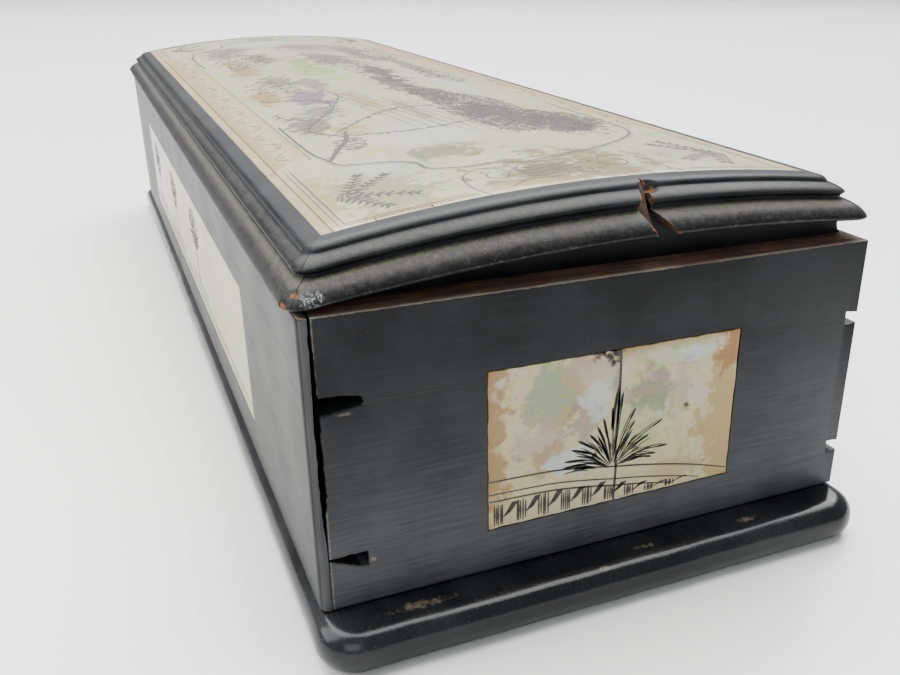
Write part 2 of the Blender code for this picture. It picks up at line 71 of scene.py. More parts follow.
# Case
base_low, base_high = node_box("base_plate")
end_low, end_high = node_box("right_end_board")
back_low, back_high = node_box("back_board")
CASE_X = end_high.x
CASE_Y = back_high.y
BASE_TOP = base_high.z
CASE_BOTTOM = end_low.z
LEDGE = BASE_TOP + 49.1
BOARD_INNER_X = end_low.x
BOARD_BETWEEN_X = back_high.x
LONG_BOARD_INNER_Y = back_low.y
RIM_X = CASE_X - 6.2
RIM_Y = CASE_Y - 5
SIDE_RIM_TOP = back_high.z
END_FRONT_Y = end_low.y
BASE_CORNER = 7
BASE_EDGE = 3.4

# Lid
rail_low, rail_high = node_box("lid_front_rail")
LID_X = rail_high.x
LID_Y = -rail_low.y
LID_CORNER = 4
LEAST_CORNER = 0.3
LID_RISE = 4.6
LID_FRONT_GAP = 0.3
LID_BACK_LIFT = 2.8
END_SPREAD = 1.35
END_DROP = 1.5
SOFFIT = 1.8
PANEL_BED = 5.2
PEARL_TOP = 6.3
RIM_CLEARANCE = 0.7
RAIL_WIDTH = 8.3
RAIL_HEIGHT = 6.3

# A rail's section from the pearl outwards: inset from the lip, height, dust and wear; then its underside
RAIL_FACE = (
    (8.3, 6.30, 0.05, 0.1), (7.2, 6.30, 0.05, 0.05), (6.2, 6.27, 0.1, 0.1), (5.5, 6.12, 0.1, 0.2),
    (5.1, 5.78, 0.1, 0.2), (4.95, 5.38, 0.1, 0), (4.7, 5.24, 0.35, 0), (4, 5.02, 0.42, 0),
    (3.3, 4.68, 0.35, 0.2), (2.85, 4.25, 0.1, 0.55), (2.9, 3.98, 0, 0.1), (3.25, 3.62, 0, 0),
    (3.4, 3.25, 0.05, 0), (3.1, 2.92, 0.7, 0.05), (2.5, 2.76, 0.7, 0.1), (1.7, 2.45, 0.48, 0.1),
    (0.95, 1.95, 0.38, 0.05), (0.38, 1.25, 0.32, 0.1), (0.1, 0.72, 0.2, 0.6), (0.15, 0.42, 0, 0.55),
    (0.45, 0.12, 0, 0.2), (0.9, 0, 0, 0),
)
RAIL_UNDERSIDE = ((5, 0), (5, 1.8), (8.3, 1.8))
MITRE_SETBACK = 0.006

# Pearl
front_plate_low, front_plate_high = node_box("front_pearl_1")
end_plate_low, end_plate_high = node_box("right_end_pearl_front")
_, end_plate_back_high = node_box("right_end_pearl_back")
PLATE_LOW_Z = front_plate_low.z
PLATE_HIGH_Z = front_plate_high.z
PEARL_THICKNESS = 0.8
MEDALLION_X = 99.8
END_PLATE_LOW_Y = end_plate_low.y
END_PLATE_HIGH_Y = end_plate_back_high.y

# ---- Properties ----


def colour_property(name, description, default):
    return bpy.props.FloatVectorProperty(
        name=name, description=description, default=default, size=3, min=0, max=1, subtype="COLOR"
    )


def number_property(name, description, default, **kind):
    return bpy.props.FloatProperty(name=name, description=description, default=default, min=0, **kind)


def length_property(name, description, default):
    return number_property(name, description, default, subtype="DISTANCE", unit="LENGTH")


class WoodSettings(bpy.types.PropertyGroup):
    paint: colour_property("Ebonised paint", "Black stain where it is whole", (0.0045, 0.0047, 0.0053))
    paint_rubbed: colour_property("Rubbed paint", "Greyer bloom on the paint", (0.020, 0.0205, 0.022))
    # Painted floor reflection: paint lighter and greyer low on the ends, standing in for the bright floor
    # reflected there
    scuffed: colour_property("Scuffed paint", "Dull paint low down on the ends", (0.062, 0.064, 0.068))
    dust: colour_property("Dust", "Pale dust caught in the hollows", (0.20, 0.19, 0.15))
    worn: colour_property("Worn edge", "Wood that shows through at the arrises", (0.10, 0.065, 0.04))
    bare: colour_property("Bare wood", "Wood inside the box and under the lid", (0.11, 0.056, 0.036))
    broken: colour_property("Broken wood", "Fresh breaks", (0.17, 0.062, 0.022))
    # Painted glint: the silvery colour of highlights painted into the rail's paint
    burnished: colour_property("Burnished paint", "Silvery scratches in the paint", (0.26, 0.27, 0.28))
    crack: length_property("Crack", "Width of the open joint at the front corner", 0.0010)


class PearlSettings(bpy.types.PropertyGroup):
    cream: colour_property("Cream", "Main colour of the pearl", (0.42, 0.355, 0.19))
    silver: colour_property("Silver", "Cool light in the pearl", (0.37, 0.38, 0.28))
    pink: colour_property("Pink", "Pink light in the pearl", (0.42, 0.33, 0.28))
    green: colour_property("Green", "Green light in the pearl", (0.22, 0.33, 0.15))
    tan: colour_property("Tan", "Shell skin left along the edges", (0.24, 0.13, 0.045))
    ink: colour_property("Engraving", "Black filler in the engraved lines", (0.022, 0.018, 0.014))
    seam: length_property("Seam", "Gap between neighbouring plates", 0.00016)
    line: length_property("Line", "Width of an engraved line", 0.00034)


class BrassSettings(bpy.types.PropertyGroup):
    brass: colour_property("Brass", "Polished brass", (0.30, 0.20, 0.08))
    tarnish: colour_property("Tarnish", "Brown film on the brass", (0.06, 0.04, 0.022))


class StageSettings(bpy.types.PropertyGroup):
    floor: colour_property("Floor", "Plain pale table", (0.87, 0.87, 0.86))
    sky: colour_property("Sky", "Soft light from all round", (0.94, 0.97, 1))
    sky_strength: number_property("Sky strength", "Light from all round", 0.5)
    lens: number_property("Lens", "Focal length in millimetres", 37.915)


# ---- Shaders ----


class Socket:
    """A number in a shader. Sums written with it add Math nodes."""

    def __init__(self, finish, link):
        self.finish = finish
        self.link = link

    def math(self, operation, first, second, clamp=False):
        settings = {"operation": operation, "use_clamp": clamp}
        return self.finish.node("ShaderNodeMath", settings, {0: first, 1: second})

    def __add__(self, other):
        return self.math("ADD", self, other)

    __radd__ = __add__

    def __sub__(self, other):
        return self.math("SUBTRACT", self, other)

    def __rsub__(self, other):
        return self.math("SUBTRACT", other, self)

    def __mul__(self, other):
        return self.math("MULTIPLY", self, other)

    __rmul__ = __mul__

    def __truediv__(self, other):
        return self.math("DIVIDE", self, other)

    def __abs__(self):
        return self.math("ABSOLUTE", self, 0)

    def clamped(self):
        return self.math("ADD", self, 0, clamp=True)

    def larger(self, other):
        return self.math("MAXIMUM", self, other)


class Finish:
    """A material in progress, with its places in millimetres."""

    def __init__(self, name):
        self.material = bpy.data.materials.new(name)
        self.material.use_nodes = True
        self.tree = self.material.node_tree
        self.shader = self.tree.nodes["Principled BSDF"]

    def node(self, kind, settings=None, inputs=None, output=0):
        made = self.tree.nodes.new(kind)
        for name, value in (settings or {}).items():
            if name == "stops":
                ramp = made.color_ramp
                while len(ramp.elements) < len(value):
                    ramp.elements.new(1)
                for element, (place, colour) in zip(ramp.elements, value):
                    element.position = place
                    element.color = (*colour, 1)
            else:
                setattr(made, name, value)
        for name, value in (inputs or {}).items():
            self.feed(made.inputs[name], value)
        return Socket(self, made.outputs[output])

    def feed(self, entry, value):
        if isinstance(value, Socket):
            self.tree.links.new(value.link, entry)
        elif entry.type == "RGBA":
            entry.default_value = (*value[:3], 1)
        else:
            entry.default_value = value

    def surface(self, **inputs):
        for name, value in inputs.items():
            self.feed(self.shader.inputs[name.replace("_", " ").title().replace("Ior", "IOR")], value)
        return self.material

    def place(self, stretch=(1, 1, 1)):
        here = self.node("ShaderNodeTexCoord", output="Object")
        return self.vector("MULTIPLY", here, tuple(part / MM for part in stretch))

    def axis(self, where, name):
        return self.node("ShaderNodeSeparateXYZ", None, {0: where}, name)

    def vector(self, operation, first, second, output=0):
        return self.node("ShaderNodeVectorMath", {"operation": operation}, {0: first, 1: second}, output)

    def away(self, where, centre, reach):
        """The distance from a centre, as a share of the reach each way. A reach of 0 drops its axis."""
        offset = self.vector("SUBTRACT", where, centre)
        offset = self.vector("MULTIPLY", offset, [1 / part if part else 0 for part in reach])
        return self.vector("LENGTH", offset, (0, 0, 0), "Value")

    def noise(self, where, scale, detail=2, roughness=0.5, distortion=0, output=0):
        inputs = {"Vector": where, "Scale": scale, "Detail": detail, "Roughness": roughness}
        return self.node("ShaderNodeTexNoise", None, {**inputs, "Distortion": distortion}, output)

    def between(self, value, low, high):
        inputs = {"Value": value, "From Min": low, "From Max": high}
        return self.node("ShaderNodeMapRange", {"interpolation_type": "SMOOTHSTEP"}, inputs)

    def mark(self, name):
        return self.node("ShaderNodeAttribute", {"attribute_name": name}, None, "Fac")

    def mix(self, amount, first, second):
        return self.node("ShaderNodeMix", {"data_type": "RGBA"}, {0: amount, 6: first, 7: second}, 2)

    def bump(self, height, distance, strength):
        inputs = {"Height": height, "Distance": distance * MM, "Strength": strength}
        return self.node("ShaderNodeBump", None, inputs)


def stretched(grain, amount):
    return tuple(amount if axis == grain else 1 for axis in range(3))


def ebonised(name, grain, arrises=(), patches=(), gloss=0.12, shine=0, scuff=None, glints=()):
    """Black stain and polish: brush lines along the grain, dust in hollows, and brown where it is rubbed.

    An arris is an axis, a place and a reach. A patch is the middle of a worn place and its reach each way;
    on the base the patches are partly a painted highlight. The painted floor reflection, lighter and
    greyer low down, fades in between two heights. A painted glint is a streaky silvery highlight, given
    like a patch.
    """
    wood = bpy.context.scene.inlaid_box_wood
    finish = Finish(name)
    where = finish.place()
    brushed = finish.noise(finish.place(stretched(grain, 0.045)), 1.9, 4, 0.6)
    fine = finish.noise(finish.place(stretched(grain, 0.10)), 6, 3, 0.6)
    cloud = finish.noise(where, 0.06, 3, 0.55)
    mottle = finish.noise(where, 0.9, 4, 0.65)
    grit = finish.noise(where, 3.4, 2, 0.7)
    dust_mark = finish.mark("dust")
    wear = finish.mark("wear")
    for axis, place, reach in arrises:
        away = abs(finish.axis(where, axis) - place) / reach
        wear = wear.larger((1 - away).clamped())
    # Patches of rubbed paint; on the base they are partly a painted highlight
    for centre, reach in patches:
        away = finish.away(where, centre, reach)
        wear = wear.larger((1 - away + (cloud - 0.5) * 1.2).clamped())
    bloom = finish.between(cloud, 0.35, 0.75)
    streak = finish.between(brushed, 0.52, 0.74)
    colour = finish.mix(bloom * 0.6 + streak * 0.35, wood.paint, wood.paint_rubbed)
    # Painted reflection of the bright floor: lighter, greyer paint low down, fading in between two heights
    if scuff:
        height = finish.axis(where, "Z")
        foot = finish.between(height, *scuff) * finish.between(height, 7.6, 8.2)
        scuffed = 0.45 + finish.between(brushed, 0.35, 0.70) * 0.30
        scuffed = scuffed + finish.between(cloud, 0.3, 0.7) * 0.30
        colour = finish.mix((scuffed * foot).clamped(), colour, wood.scuffed)
    film = finish.between(mottle * 0.45 + dust_mark * 0.85, 0.42, 1.05)
    specks = finish.between(grit + dust_mark * 0.13, 0.68, 0.76)
    dusty = (film * 0.5 + specks * (0.22 + dust_mark * 0.5)).clamped()
    colour = finish.mix(dusty, colour, wood.dust)
    # Rubbed paint, grey-brown at arrises and patches; on the base's patches it is partly a painted
    # highlight
    rubbed = finish.between(wear * 0.72 + mottle * 0.62, 0.70, 1)
    worn_grey_and_highlight = finish.mix(finish.between(grit, 0.4, 0.65), wood.worn, wood.dust)
    colour = finish.mix(rubbed * 0.75, colour, worn_grey_and_highlight)
    # Painted highlights: streaky silvery colour that fades out with distance from each centre
    for centre, reach in glints:
        away = finish.away(where, centre, reach)
        glint_streaks = finish.noise(finish.place((0.5, 1, 0.6)), 1.9, 3, 0.6, 1.5)
        colour = finish.mix(finish.between(glint_streaks - away * 0.24, 0.34, 0.60), colour, wood.burnished)
    bare = finish.mark("bare")
    broken = finish.between(bare + (mottle - 0.5) * 1.4, 0.40, 0.50)
    colour = finish.mix(broken, colour, wood.broken)
    rough = 0.36 - gloss * 0.3 - shine + streak * 0.10 + bloom * 0.06 + film * 0.30
    rough = rough + specks * 0.2 + fine * 0.08 - rubbed * 0.05 + broken * 0.3
    relief = brushed * 0.5 + fine * 0.28 + mottle * 0.18 + specks * 0.5 - rubbed * 0.12
    return finish.surface(
        base_color=colour, roughness=rough.clamped(), normal=finish.bump(relief, 0.05, 0.55),
        specular_ior_level=gloss,
    )


def bare_wood(name, grain, tone, depth=1, edge=None):
    """Unpainted wood: reddish brown with darker pores, a little grimy, and pale along an edge."""
    finish = Finish(name)
    where = finish.place()
    rings = finish.noise(finish.place(stretched(grain, 0.07)), 1.1, 5, 0.62, 0.4)
    pores = finish.noise(finish.place(stretched(grain, 0.12)), 5.5, 2, 0.6)
    cloud = finish.noise(where, 0.12, 3)
    darkest, dark, light = (tuple(part * share for part in tone) for share in (0.2, 0.32, 1.55))
    colour = finish.mix(finish.between(rings, 0.32, 0.68), dark, light)
    colour = finish.mix(finish.between(pores, 0.58, 0.68) * 0.7, colour, darkest)
    colour = finish.mix(finish.between(cloud, 0.45, 0.7) * 0.45, colour, dark)
    if edge:
        axis, place, reach = edge
        near = 1 - (place - abs(finish.axis(where, axis))) / reach
        pale = bpy.context.scene.inlaid_box_wood.dust
        ragged = near + (cloud - 0.5) * 1.6 + (pores - 0.5) * 0.8
        colour = finish.mix(finish.between(ragged, 0.15, 1) * 0.8, colour, pale)
    relief = finish.bump(rings * 0.7 + pores * 0.5, 0.12 * depth, 0.8)
    return finish.surface(base_color=colour, roughness=0.62 + pores * 0.25, normal=relief)


def pearl(name, warmth, base=None, axes=(), pools=()):
    """Shell: clouds of cream, silver, pink and green, fine growth lines, and tan skin along the edges.

    A pool is a centre and two radii along the two axes, a colour and a strength.
    """
    shell = bpy.context.scene.inlaid_box_pearl
    finish = Finish(name)
    plate = finish.mark("plate")
    edge = finish.mark("edge")
    offset = finish.node("ShaderNodeCombineXYZ", None, {0: plate * 37, 1: plate * 91, 2: plate * 53})
    where = finish.place()
    moved = finish.vector("ADD", where, offset)
    swirl = finish.noise(moved, 0.055, 2, 0.5, 0.8, 1)
    warped = finish.vector("ADD", moved, finish.vector("MULTIPLY", swirl, (34, 34, 34)))
    light = finish.noise(warped, 0.045, 3, 0.55, 0.6)
    tint = finish.noise(warped, 0.085, 2, 0.5, 1.2)
    rings = finish.node(
        "ShaderNodeTexWave",
        {"wave_type": "BANDS", "bands_direction": "DIAGONAL"},
        {"Vector": warped, "Scale": 0.16, "Distortion": 5, "Detail": 3, "Detail Scale": 1.4},
        1,
    )
    stops = [
        (0.30, shell.cream), (0.42, shell.silver), (0.50, shell.pink), (0.57, shell.cream),
        (0.64, shell.green), (0.72, shell.silver),
    ]
    tinted = finish.node("ShaderNodeValToRGB", {"stops": stops}, {0: tint})
    colour = finish.mix(finish.between(light, 0.3, 0.7) * 0.85, base or shell.cream, tinted)
    flecks = finish.noise(where, 0.34, 4, 0.62)
    wander = (light - 0.5) * 1.8 + (flecks - 0.5) * 3.4
    for *place, pool_colour, strength in pools:
        middle, reach = [0] * 3, [0] * 3
        for i, axis in enumerate(axes):
            middle[axis], reach[axis] = place[i], place[i + 2]
        away = finish.away(where, middle, reach)
        deep = tuple(part ** 1.45 for part in pool_colour)
        colour = finish.mix(finish.between(away + wander, 1.15, 0.65) * strength, colour, deep)
    shade = tuple(part * 0.6 for part in shell.cream)
    colour = finish.mix(finish.between(rings, 0.35, 0.9) * 0.10, colour, shade)
    grain = finish.noise(finish.vector("MULTIPLY", warped, (1, 0.25, 1)), 1.6, 4, 0.6)
    skin = finish.between(edge * 0.75 + light * 0.55 + grain * 0.18 + warmth, 0.74, 1.15)
    colour = finish.mix(skin * 0.72, colour, shell.tan)
    stains = finish.between(finish.noise(where, 0.8, 3, 0.7), 0.70, 0.78)
    colour = finish.mix(stains * 0.35, colour, shell.tan)
    rough = 0.24 + grain * 0.12 + skin * 0.15 + stains * 0.1
    relief = finish.bump(rings * 0.35 + grain * 0.35 + light * 0.6, 0.05, 0.35)
    return finish.surface(
        base_color=colour, roughness=rough, normal=relief, coat_weight=0.10, coat_roughness=0.15,
        specular_ior_level=0.22,
    )


def ink(name, strength=1):
    """Black filler in cut lines, crumbling a little."""
    shell = bpy.context.scene.inlaid_box_pearl
    finish = Finish(name)
    crumbs = finish.noise(finish.place(), 2.6, 3, 0.6)
    black, brown = (tuple(part * share * strength for part in shell.ink) for share in (1, 3))
    colour = finish.mix(finish.between(crumbs, 0.42, 0.7), black, brown)
    return finish.surface(
        base_color=colour, roughness=0.55 + crumbs * 0.3, normal=finish.bump(crumbs, 0.03, 0.6)
    )


def aged_brass(name):
    """Brass under a brown film, brighter where it is handled."""
    metal = bpy.context.scene.inlaid_box_brass
    finish = Finish(name)
    where = finish.place()
    film = finish.noise(where, 0.5, 4, 0.6)
    scratches = finish.noise(finish.place((0.15, 1, 1)), 7, 2, 0.6)
    tarnish = finish.between(film + scratches * 0.15, 0.45, 0.72)
    colour = finish.mix(tarnish, metal.brass, metal.tarnish)
    return finish.surface(
        base_color=colour, metallic=1 - tarnish * 0.5, roughness=0.28 + tarnish * 0.3 + scratches * 0.1,
        normal=finish.bump(scratches * 0.4 + tarnish * 0.5, 0.03, 0.6),
    )


def table_top(name):
    """The plain pale table, with the faintest unevenness in its polish."""
    stage = bpy.context.scene.inlaid_box_stage
    finish = Finish(name)
    cloud = finish.noise(finish.place(), 0.01, 3)
    darker = tuple(part * 0.96 for part in stage.floor)
    return finish.surface(
        base_color=finish.mix(cloud, stage.floor, darker), roughness=0.22 + cloud * 0.06,
        specular_ior_level=0.25,
    )


def finishes():
    """The materials by name, made the first time that they are asked for."""
    shell = bpy.context.scene.inlaid_box_pearl
    wood = bpy.context.scene.inlaid_box_wood
    tan, rust, ochre = (0.38, 0.27, 0.13), (0.37, 0.215, 0.095), (0.42, 0.33, 0.13)
    mist, dusk, rose = (0.50, 0.56, 0.52), (0.30, 0.235, 0.235), (0.47, 0.37, 0.34)
    grey, soot = (0.22, 0.21, 0.175), (0.10, 0.095, 0.08)
    moss, glow, straw = (0.20, 0.21, 0.11), (0.34, 0.44, 0.18), (0.46, 0.37, 0.2)
    end_pools = (
        (-22.6, 36, 5.2, 17, tan, 0.9), (-10.4, 37.4, 6.4, 6.2, ochre, 0.75),
        (-12.4, 38, 4.8, 5, (0.33, 0.39, 0.29), 0.9), (-3.6, 41, 4, 3.6, rose, 0.6),
        (-13.5, 30, 5, 4, rose, 0.6), (-5, 32, 3.2, 3.6, dusk, 0.6),
        (-11.5, 26.6, 4.6, 3, tan, 0.6), (-7, 25.4, 4.4, 2.8, mist, 0.9),
        (-2.8, 36, 2.6, 4, mist, 0.7), (7, 36, 6, 5, grey, 0.6),
        (23.5, 30, 6, 17, ochre, 0.75), (24.6, 42.5, 5.2, 5.6, rust, 0.9),
        # The pale mist pool at (15.5, 41.5) is a painted highlight: the white sparkle seen there on the
        # end plates
        (15.5, 41.5, 5, 1.5, mist, 0.8), (5.5, 28.5, 5, 4.5, (0.40, 0.45, 0.25), 0.6),
        (12.6, 34, 3, 6, dusk, 0.3), (14.8, 31.6, 1, 0.9, (0.10, 0.055, 0.015), 1),
        (-5, 18, 12, 4, (0.50, 0.48, 0.35), 0.8), (13, 19.6, 7, 2.2, tan, 0.4),
        (1, 44.3, 3.2, 2.1, (0.04, 0.02, 0.012), 1),
    )
    lid_pools = (
        (109, -14, 7, 9, moss, 0.75), (92, -12, 10, 12, mist, 0.5),
        (76, -22, 7, 4, ochre, 0.8), (64, -27, 12, 4, soot, 0.7),
        (50, -21, 10, 5, dusk, 0.9), (30, -19, 16, 5, (0.21, 0.18, 0.24), 0.9),
        (18, -28, 12, 4, tan, 0.9), (4, -13, 13, 4, dusk, 0.9),
        (-24, -5, 24, 5.5, glow, 0.95), (-8, -20, 14, 4.5, moss, 0.8),
        (-44, -24, 22, 4.5, tan, 0.9), (-66, -14, 18, 5, soot, 0.7),
        (-96, -20, 16, 7, grey, 0.8), (90, 21, 12, 8, soot, 0.95),
        (72, 12, 16, 7.5, soot, 0.95), (46, 9.5, 16, 4.5, soot, 0.9),
        (18, 7, 20, 4, soot, 0.85), (-12, 11, 22, 4.5, soot, 0.9),
        (-50, 5, 22, 6, grey, 0.9), (-64, 20, 26, 5, soot, 0.7),
        (-20, 25, 34, 3.5, grey, 0.8), (24, 22, 16, 4, mist, 0.6),
        (44, -9, 20, 2.6, tan, 0.6), (62, -3, 16, 2, grey, 0.6),
        (-92, 8, 12, 12, dusk, 0.8), (-118, 0, 9, 22, mist, 0.5),
        (131, -3, 5, 6, (0.20, 0.15, 0.12), 0.8), (131, 7.5, 5, 5, ochre, 0.6),
        (129, -30, 16, 11, (0.29, 0.285, 0.16), 0.75),
        (132, 1, 12, 17, (0.27, 0.215, 0.12), 0.85), (128, 28, 10, 8, rose, 0.5),
        (124, -40, 22, 3.4, straw, 0.7), (142, -24, 4, 20, straw, 0.7),
        (112, -26, 9, 6, mist, 0.5),
    )
    top_arris, crack_arris = ("Z", LEDGE, 0.35), ("Y", END_FRONT_Y + 0.25, 0.35)
    end_patches = (
        ((CASE_X, -44.8, 41.4), (2, 4.2, 0.8)), ((CASE_X, -41.6, 15.6), (2, 1.1, 0.9)),
        ((CASE_X, -47.6, 43.6), (2, 1.1, 2.2)),
    )
    # Lighter grey-beige patches on the base's rounded top edge: partly rubbed paint, partly a painted
    # highlight where the base's shine is patchy
    base_wear_and_highlight_patches = (
        ((base_high.x - 5, -35, 8), (2.6, 14, 1.6)), ((base_high.x - 4.6, 6, 8), (2, 6, 1.5)),
        ((base_high.x - 4.6, 27, 8), (2, 5, 1.5)), ((base_high.x - 2.2, -4, 7.2), (1.6, 4, 1.2)),
    )
    # Where silvery highlights are painted on the right rail's paint, by its front corner
    painted_rail_glints = (((153.3, -48, 59), (2.6, 2.3, 1.2)),)
    makers = {
        "paint_long": lambda name: ebonised(name, 0, (top_arris,)),
        # The ends get the painted floor reflection from 52 mm down to 12 mm, and the lap strip gets it at
        # full strength
        "paint_end": lambda name: ebonised(name, 1, (top_arris, crack_arris), end_patches, scuff=(52, 12)),
        "paint_lap": lambda name: ebonised(name, 2, scuff=(200, 90)),
        "paint_base": lambda name: ebonised(name, 0, (), base_wear_and_highlight_patches, 0.30, 0.15),
        "paint_rail": lambda name: ebonised(name, 0, gloss=0.10),
        "paint_end_rail": lambda name: ebonised(name, 1, gloss=0.14, glints=painted_rail_glints),
        "bare_long": lambda name: bare_wood(name, 0, wood.bare, edge=("Y", CASE_Y, 1)),
        "bare_end": lambda name: bare_wood(name, 1, wood.bare, edge=("X", CASE_X, 1.5)),
        "broken": lambda name: bare_wood(name, 2, tuple(part * 0.22 for part in wood.broken), 3),
        "pearl_lid": lambda name: pearl(name, 0, (0.36, 0.35, 0.21), (0, 1), lid_pools),
        "pearl_border": lambda name: pearl(name, 0.42),
        "pearl_end": lambda name: pearl(name, 0.02, None, (1, 2), end_pools),
        "pearl_front": lambda name: pearl(name, 0.12, (0.42, 0.335, 0.13)),
        "ink": ink,
        "gap": lambda name: ink(name, 0.08),
        "brass": aged_brass,
        "table": table_top,
    }
    return lambda name: bpy.data.materials.get(name) or makers[name](name)


def materials(*names):
    find = finishes()
    return [find(name) for name in names]


# ---- Mesh helpers, in millimetres ----


def drift(place, size, seed=0):
    """A smooth, repeatable wander between about -1 and 1, with swells this far apart."""
    return noise.noise(Vector(place) / size + Vector((seed, seed * 1.7, seed * 0.3)))


def arc(centre, radius, start, end, steps):
    angles = [math.radians(start + (end - start) * i / steps) for i in range(steps + 1)]
    return [(centre[0] + radius * math.cos(a), centre[1] + radius * math.sin(a)) for a in angles]


def spread(low, high, step):
    """Even places from low to high, no more than a step apart."""
    count = max(1, math.ceil(abs(high - low) / step))
    return [low + (high - low) * i / count for i in range(count + 1)]


def rough(points, step, size, seed=0):
    """A polyline cut into short pieces that wander sideways, its ends kept."""
    made = [Vector(points[0])]
    for start, end in zip(points, points[1:]):
        start, end = Vector(start), Vector(end)
        along = end - start
        count = max(1, round(along.length / step))
        across = Vector((-along.y, along.x)).normalized()
        for i in range(1, count + 1):
            point = start + along * i / count
            place = (point.x, point.y, seed)
            push = drift(place, 1.1, seed) + 0.6 * drift(place, 0.35, seed)
            made.append(point + across * push * size * (i < count))
    return [tuple(point) for point in made]


def soften(points, rounds=2):
    """Cuts the corners of an open line of tuples, keeping its two ends."""
    for _ in range(rounds):
        made = [points[0]]
        for first, second in zip(points, points[1:]):
            made.append(tuple(0.75 * a + 0.25 * b for a, b in zip(first, second)))
            made.append(tuple(0.25 * a + 0.75 * b for a, b in zip(first, second)))
        points = made + [points[-1]]
    return points


def inset_outline(outline, amount):
    """A closed counterclockwise outline drawn in along its corners' normals."""
    made = []
    count = len(outline)
    for i, point in enumerate(outline):
        near = (outline[i - 1], point, outline[(i + 1) % count])
        before, here, after = (Vector(corner[:2]) for corner in near)
        first, second = (here - before).normalized(), (after - here).normalized()
        inward = Vector((-first.y - second.y, first.x + second.x))
        if inward.length > 1e-6:
            inward.normalize()
        made.append(tuple(here + inward * amount))
    return made


class Form:
    """A mesh in progress."""

    def __init__(self):
        self.mesh = bmesh.new()
        self.layers = {name: self.mesh.verts.layers.float.new(name) for name in MARKS}

    def point(self, place, **marks):
        vert = self.mesh.verts.new(Vector(place) * MM)
        for name, value in marks.items():
            vert[self.layers[name]] = value
        return vert

    def face(self, corners, slot=0):
        made = self.mesh.faces.new(corners)
        made.material_index = slot
        return made

    def skin(self, rings, slot=0, closed=True):
        """Joins each ring of points to the next."""
        for lower, upper in zip(rings, rings[1:]):
            count = len(lower)
            for i in range(count if closed else count - 1):
                j = (i + 1) % count
                self.face((lower[i], lower[j], upper[j], upper[i]), slot)

    def solid(self, rings, slot=0):
        """Joins the rings and closes both ends."""
        self.skin(rings, slot)
        self.face(rings[0], slot)
        self.face(rings[-1], slot)

    def prism(self, outline, axis, low, high, slot=0):
        """An outline in the other two axes, carried along one axis."""
        rings = []
        for place in (low, high):
            points = [list(point[:2]) for point in outline]
            for point in points:
                point.insert(axis, place)
            rings.append([self.point(point) for point in points])
        self.solid(rings, slot)

    def box(self, low, high, slot=0):
        outline = ((low[1], low[2]), (high[1], low[2]), (high[1], high[2]), (low[1], high[2]))
        self.prism(outline, 0, low[0], high[0], slot)

    def plain_object(self, name, slots=()):
        bmesh.ops.remove_doubles(self.mesh, verts=self.mesh.verts, dist=1e-8)
        bmesh.ops.recalc_face_normals(self.mesh, faces=self.mesh.faces)
        mesh = bpy.data.meshes.new(name)
        self.mesh.to_mesh(mesh)
        self.mesh.free()
        for material in slots:
            mesh.materials.append(material)
        thing = bpy.data.objects.new(name, mesh)
        bpy.context.scene.collection.objects.link(thing)
        return thing


def combine(thing, tool_form, operation, slots=()):
    """Applies one Boolean with a form, and removes the form's object."""
    tool = tool_form.plain_object(thing.name + "_tool", slots)
    modifier = thing.modifiers.new("shape", "BOOLEAN")
    modifier.operation = operation
    modifier.solver = "EXACT"
    modifier.object = tool
    graph = bpy.context.evaluated_depsgraph_get()
    shaped = bpy.data.meshes.new_from_object(thing.evaluated_get(graph))
    thing.modifiers.remove(modifier)
    if len(shaped.polygons) < 6:
        raise RuntimeError(f"{thing.name}: a cut left nothing")
    thing.data = shaped
    bpy.data.objects.remove(tool)


SMOOTH_AREA = 14 * MM * MM


def settle(thing, body, nodes=(), sharp=38):
    """Shades a finished piece, lets it ride on its body, and hides the given nodes of the imported model.
    """
    mesh = thing.data
    for polygon in mesh.polygons:
        polygon.use_smooth = polygon.area < SMOOTH_AREA and len(polygon.vertices) <= 4
    mesh.set_sharp_from_angle(angle=math.radians(sharp))
    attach(thing, body)
    if nodes:
        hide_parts(*nodes)
    return thing


def sort_faces(thing, choose):
    """Gives each face the slot that choose(centre, normal) names, its centre in millimetres."""
    for polygon in thing.data.polygons:
        polygon.material_index = choose(polygon.center / MM, polygon.normal)


def lid_height(y):
    """The height of the lid's lower edge over a line across its width."""
    across = y / LID_Y
    return LEDGE + LID_FRONT_GAP + LID_BACK_LIFT * (across + 1) / 2 + LID_RISE * (1 - across * across)


def rim_top(y):
    return lid_height(y) + SOFFIT - RIM_CLEARANCE


# ---- Case ----


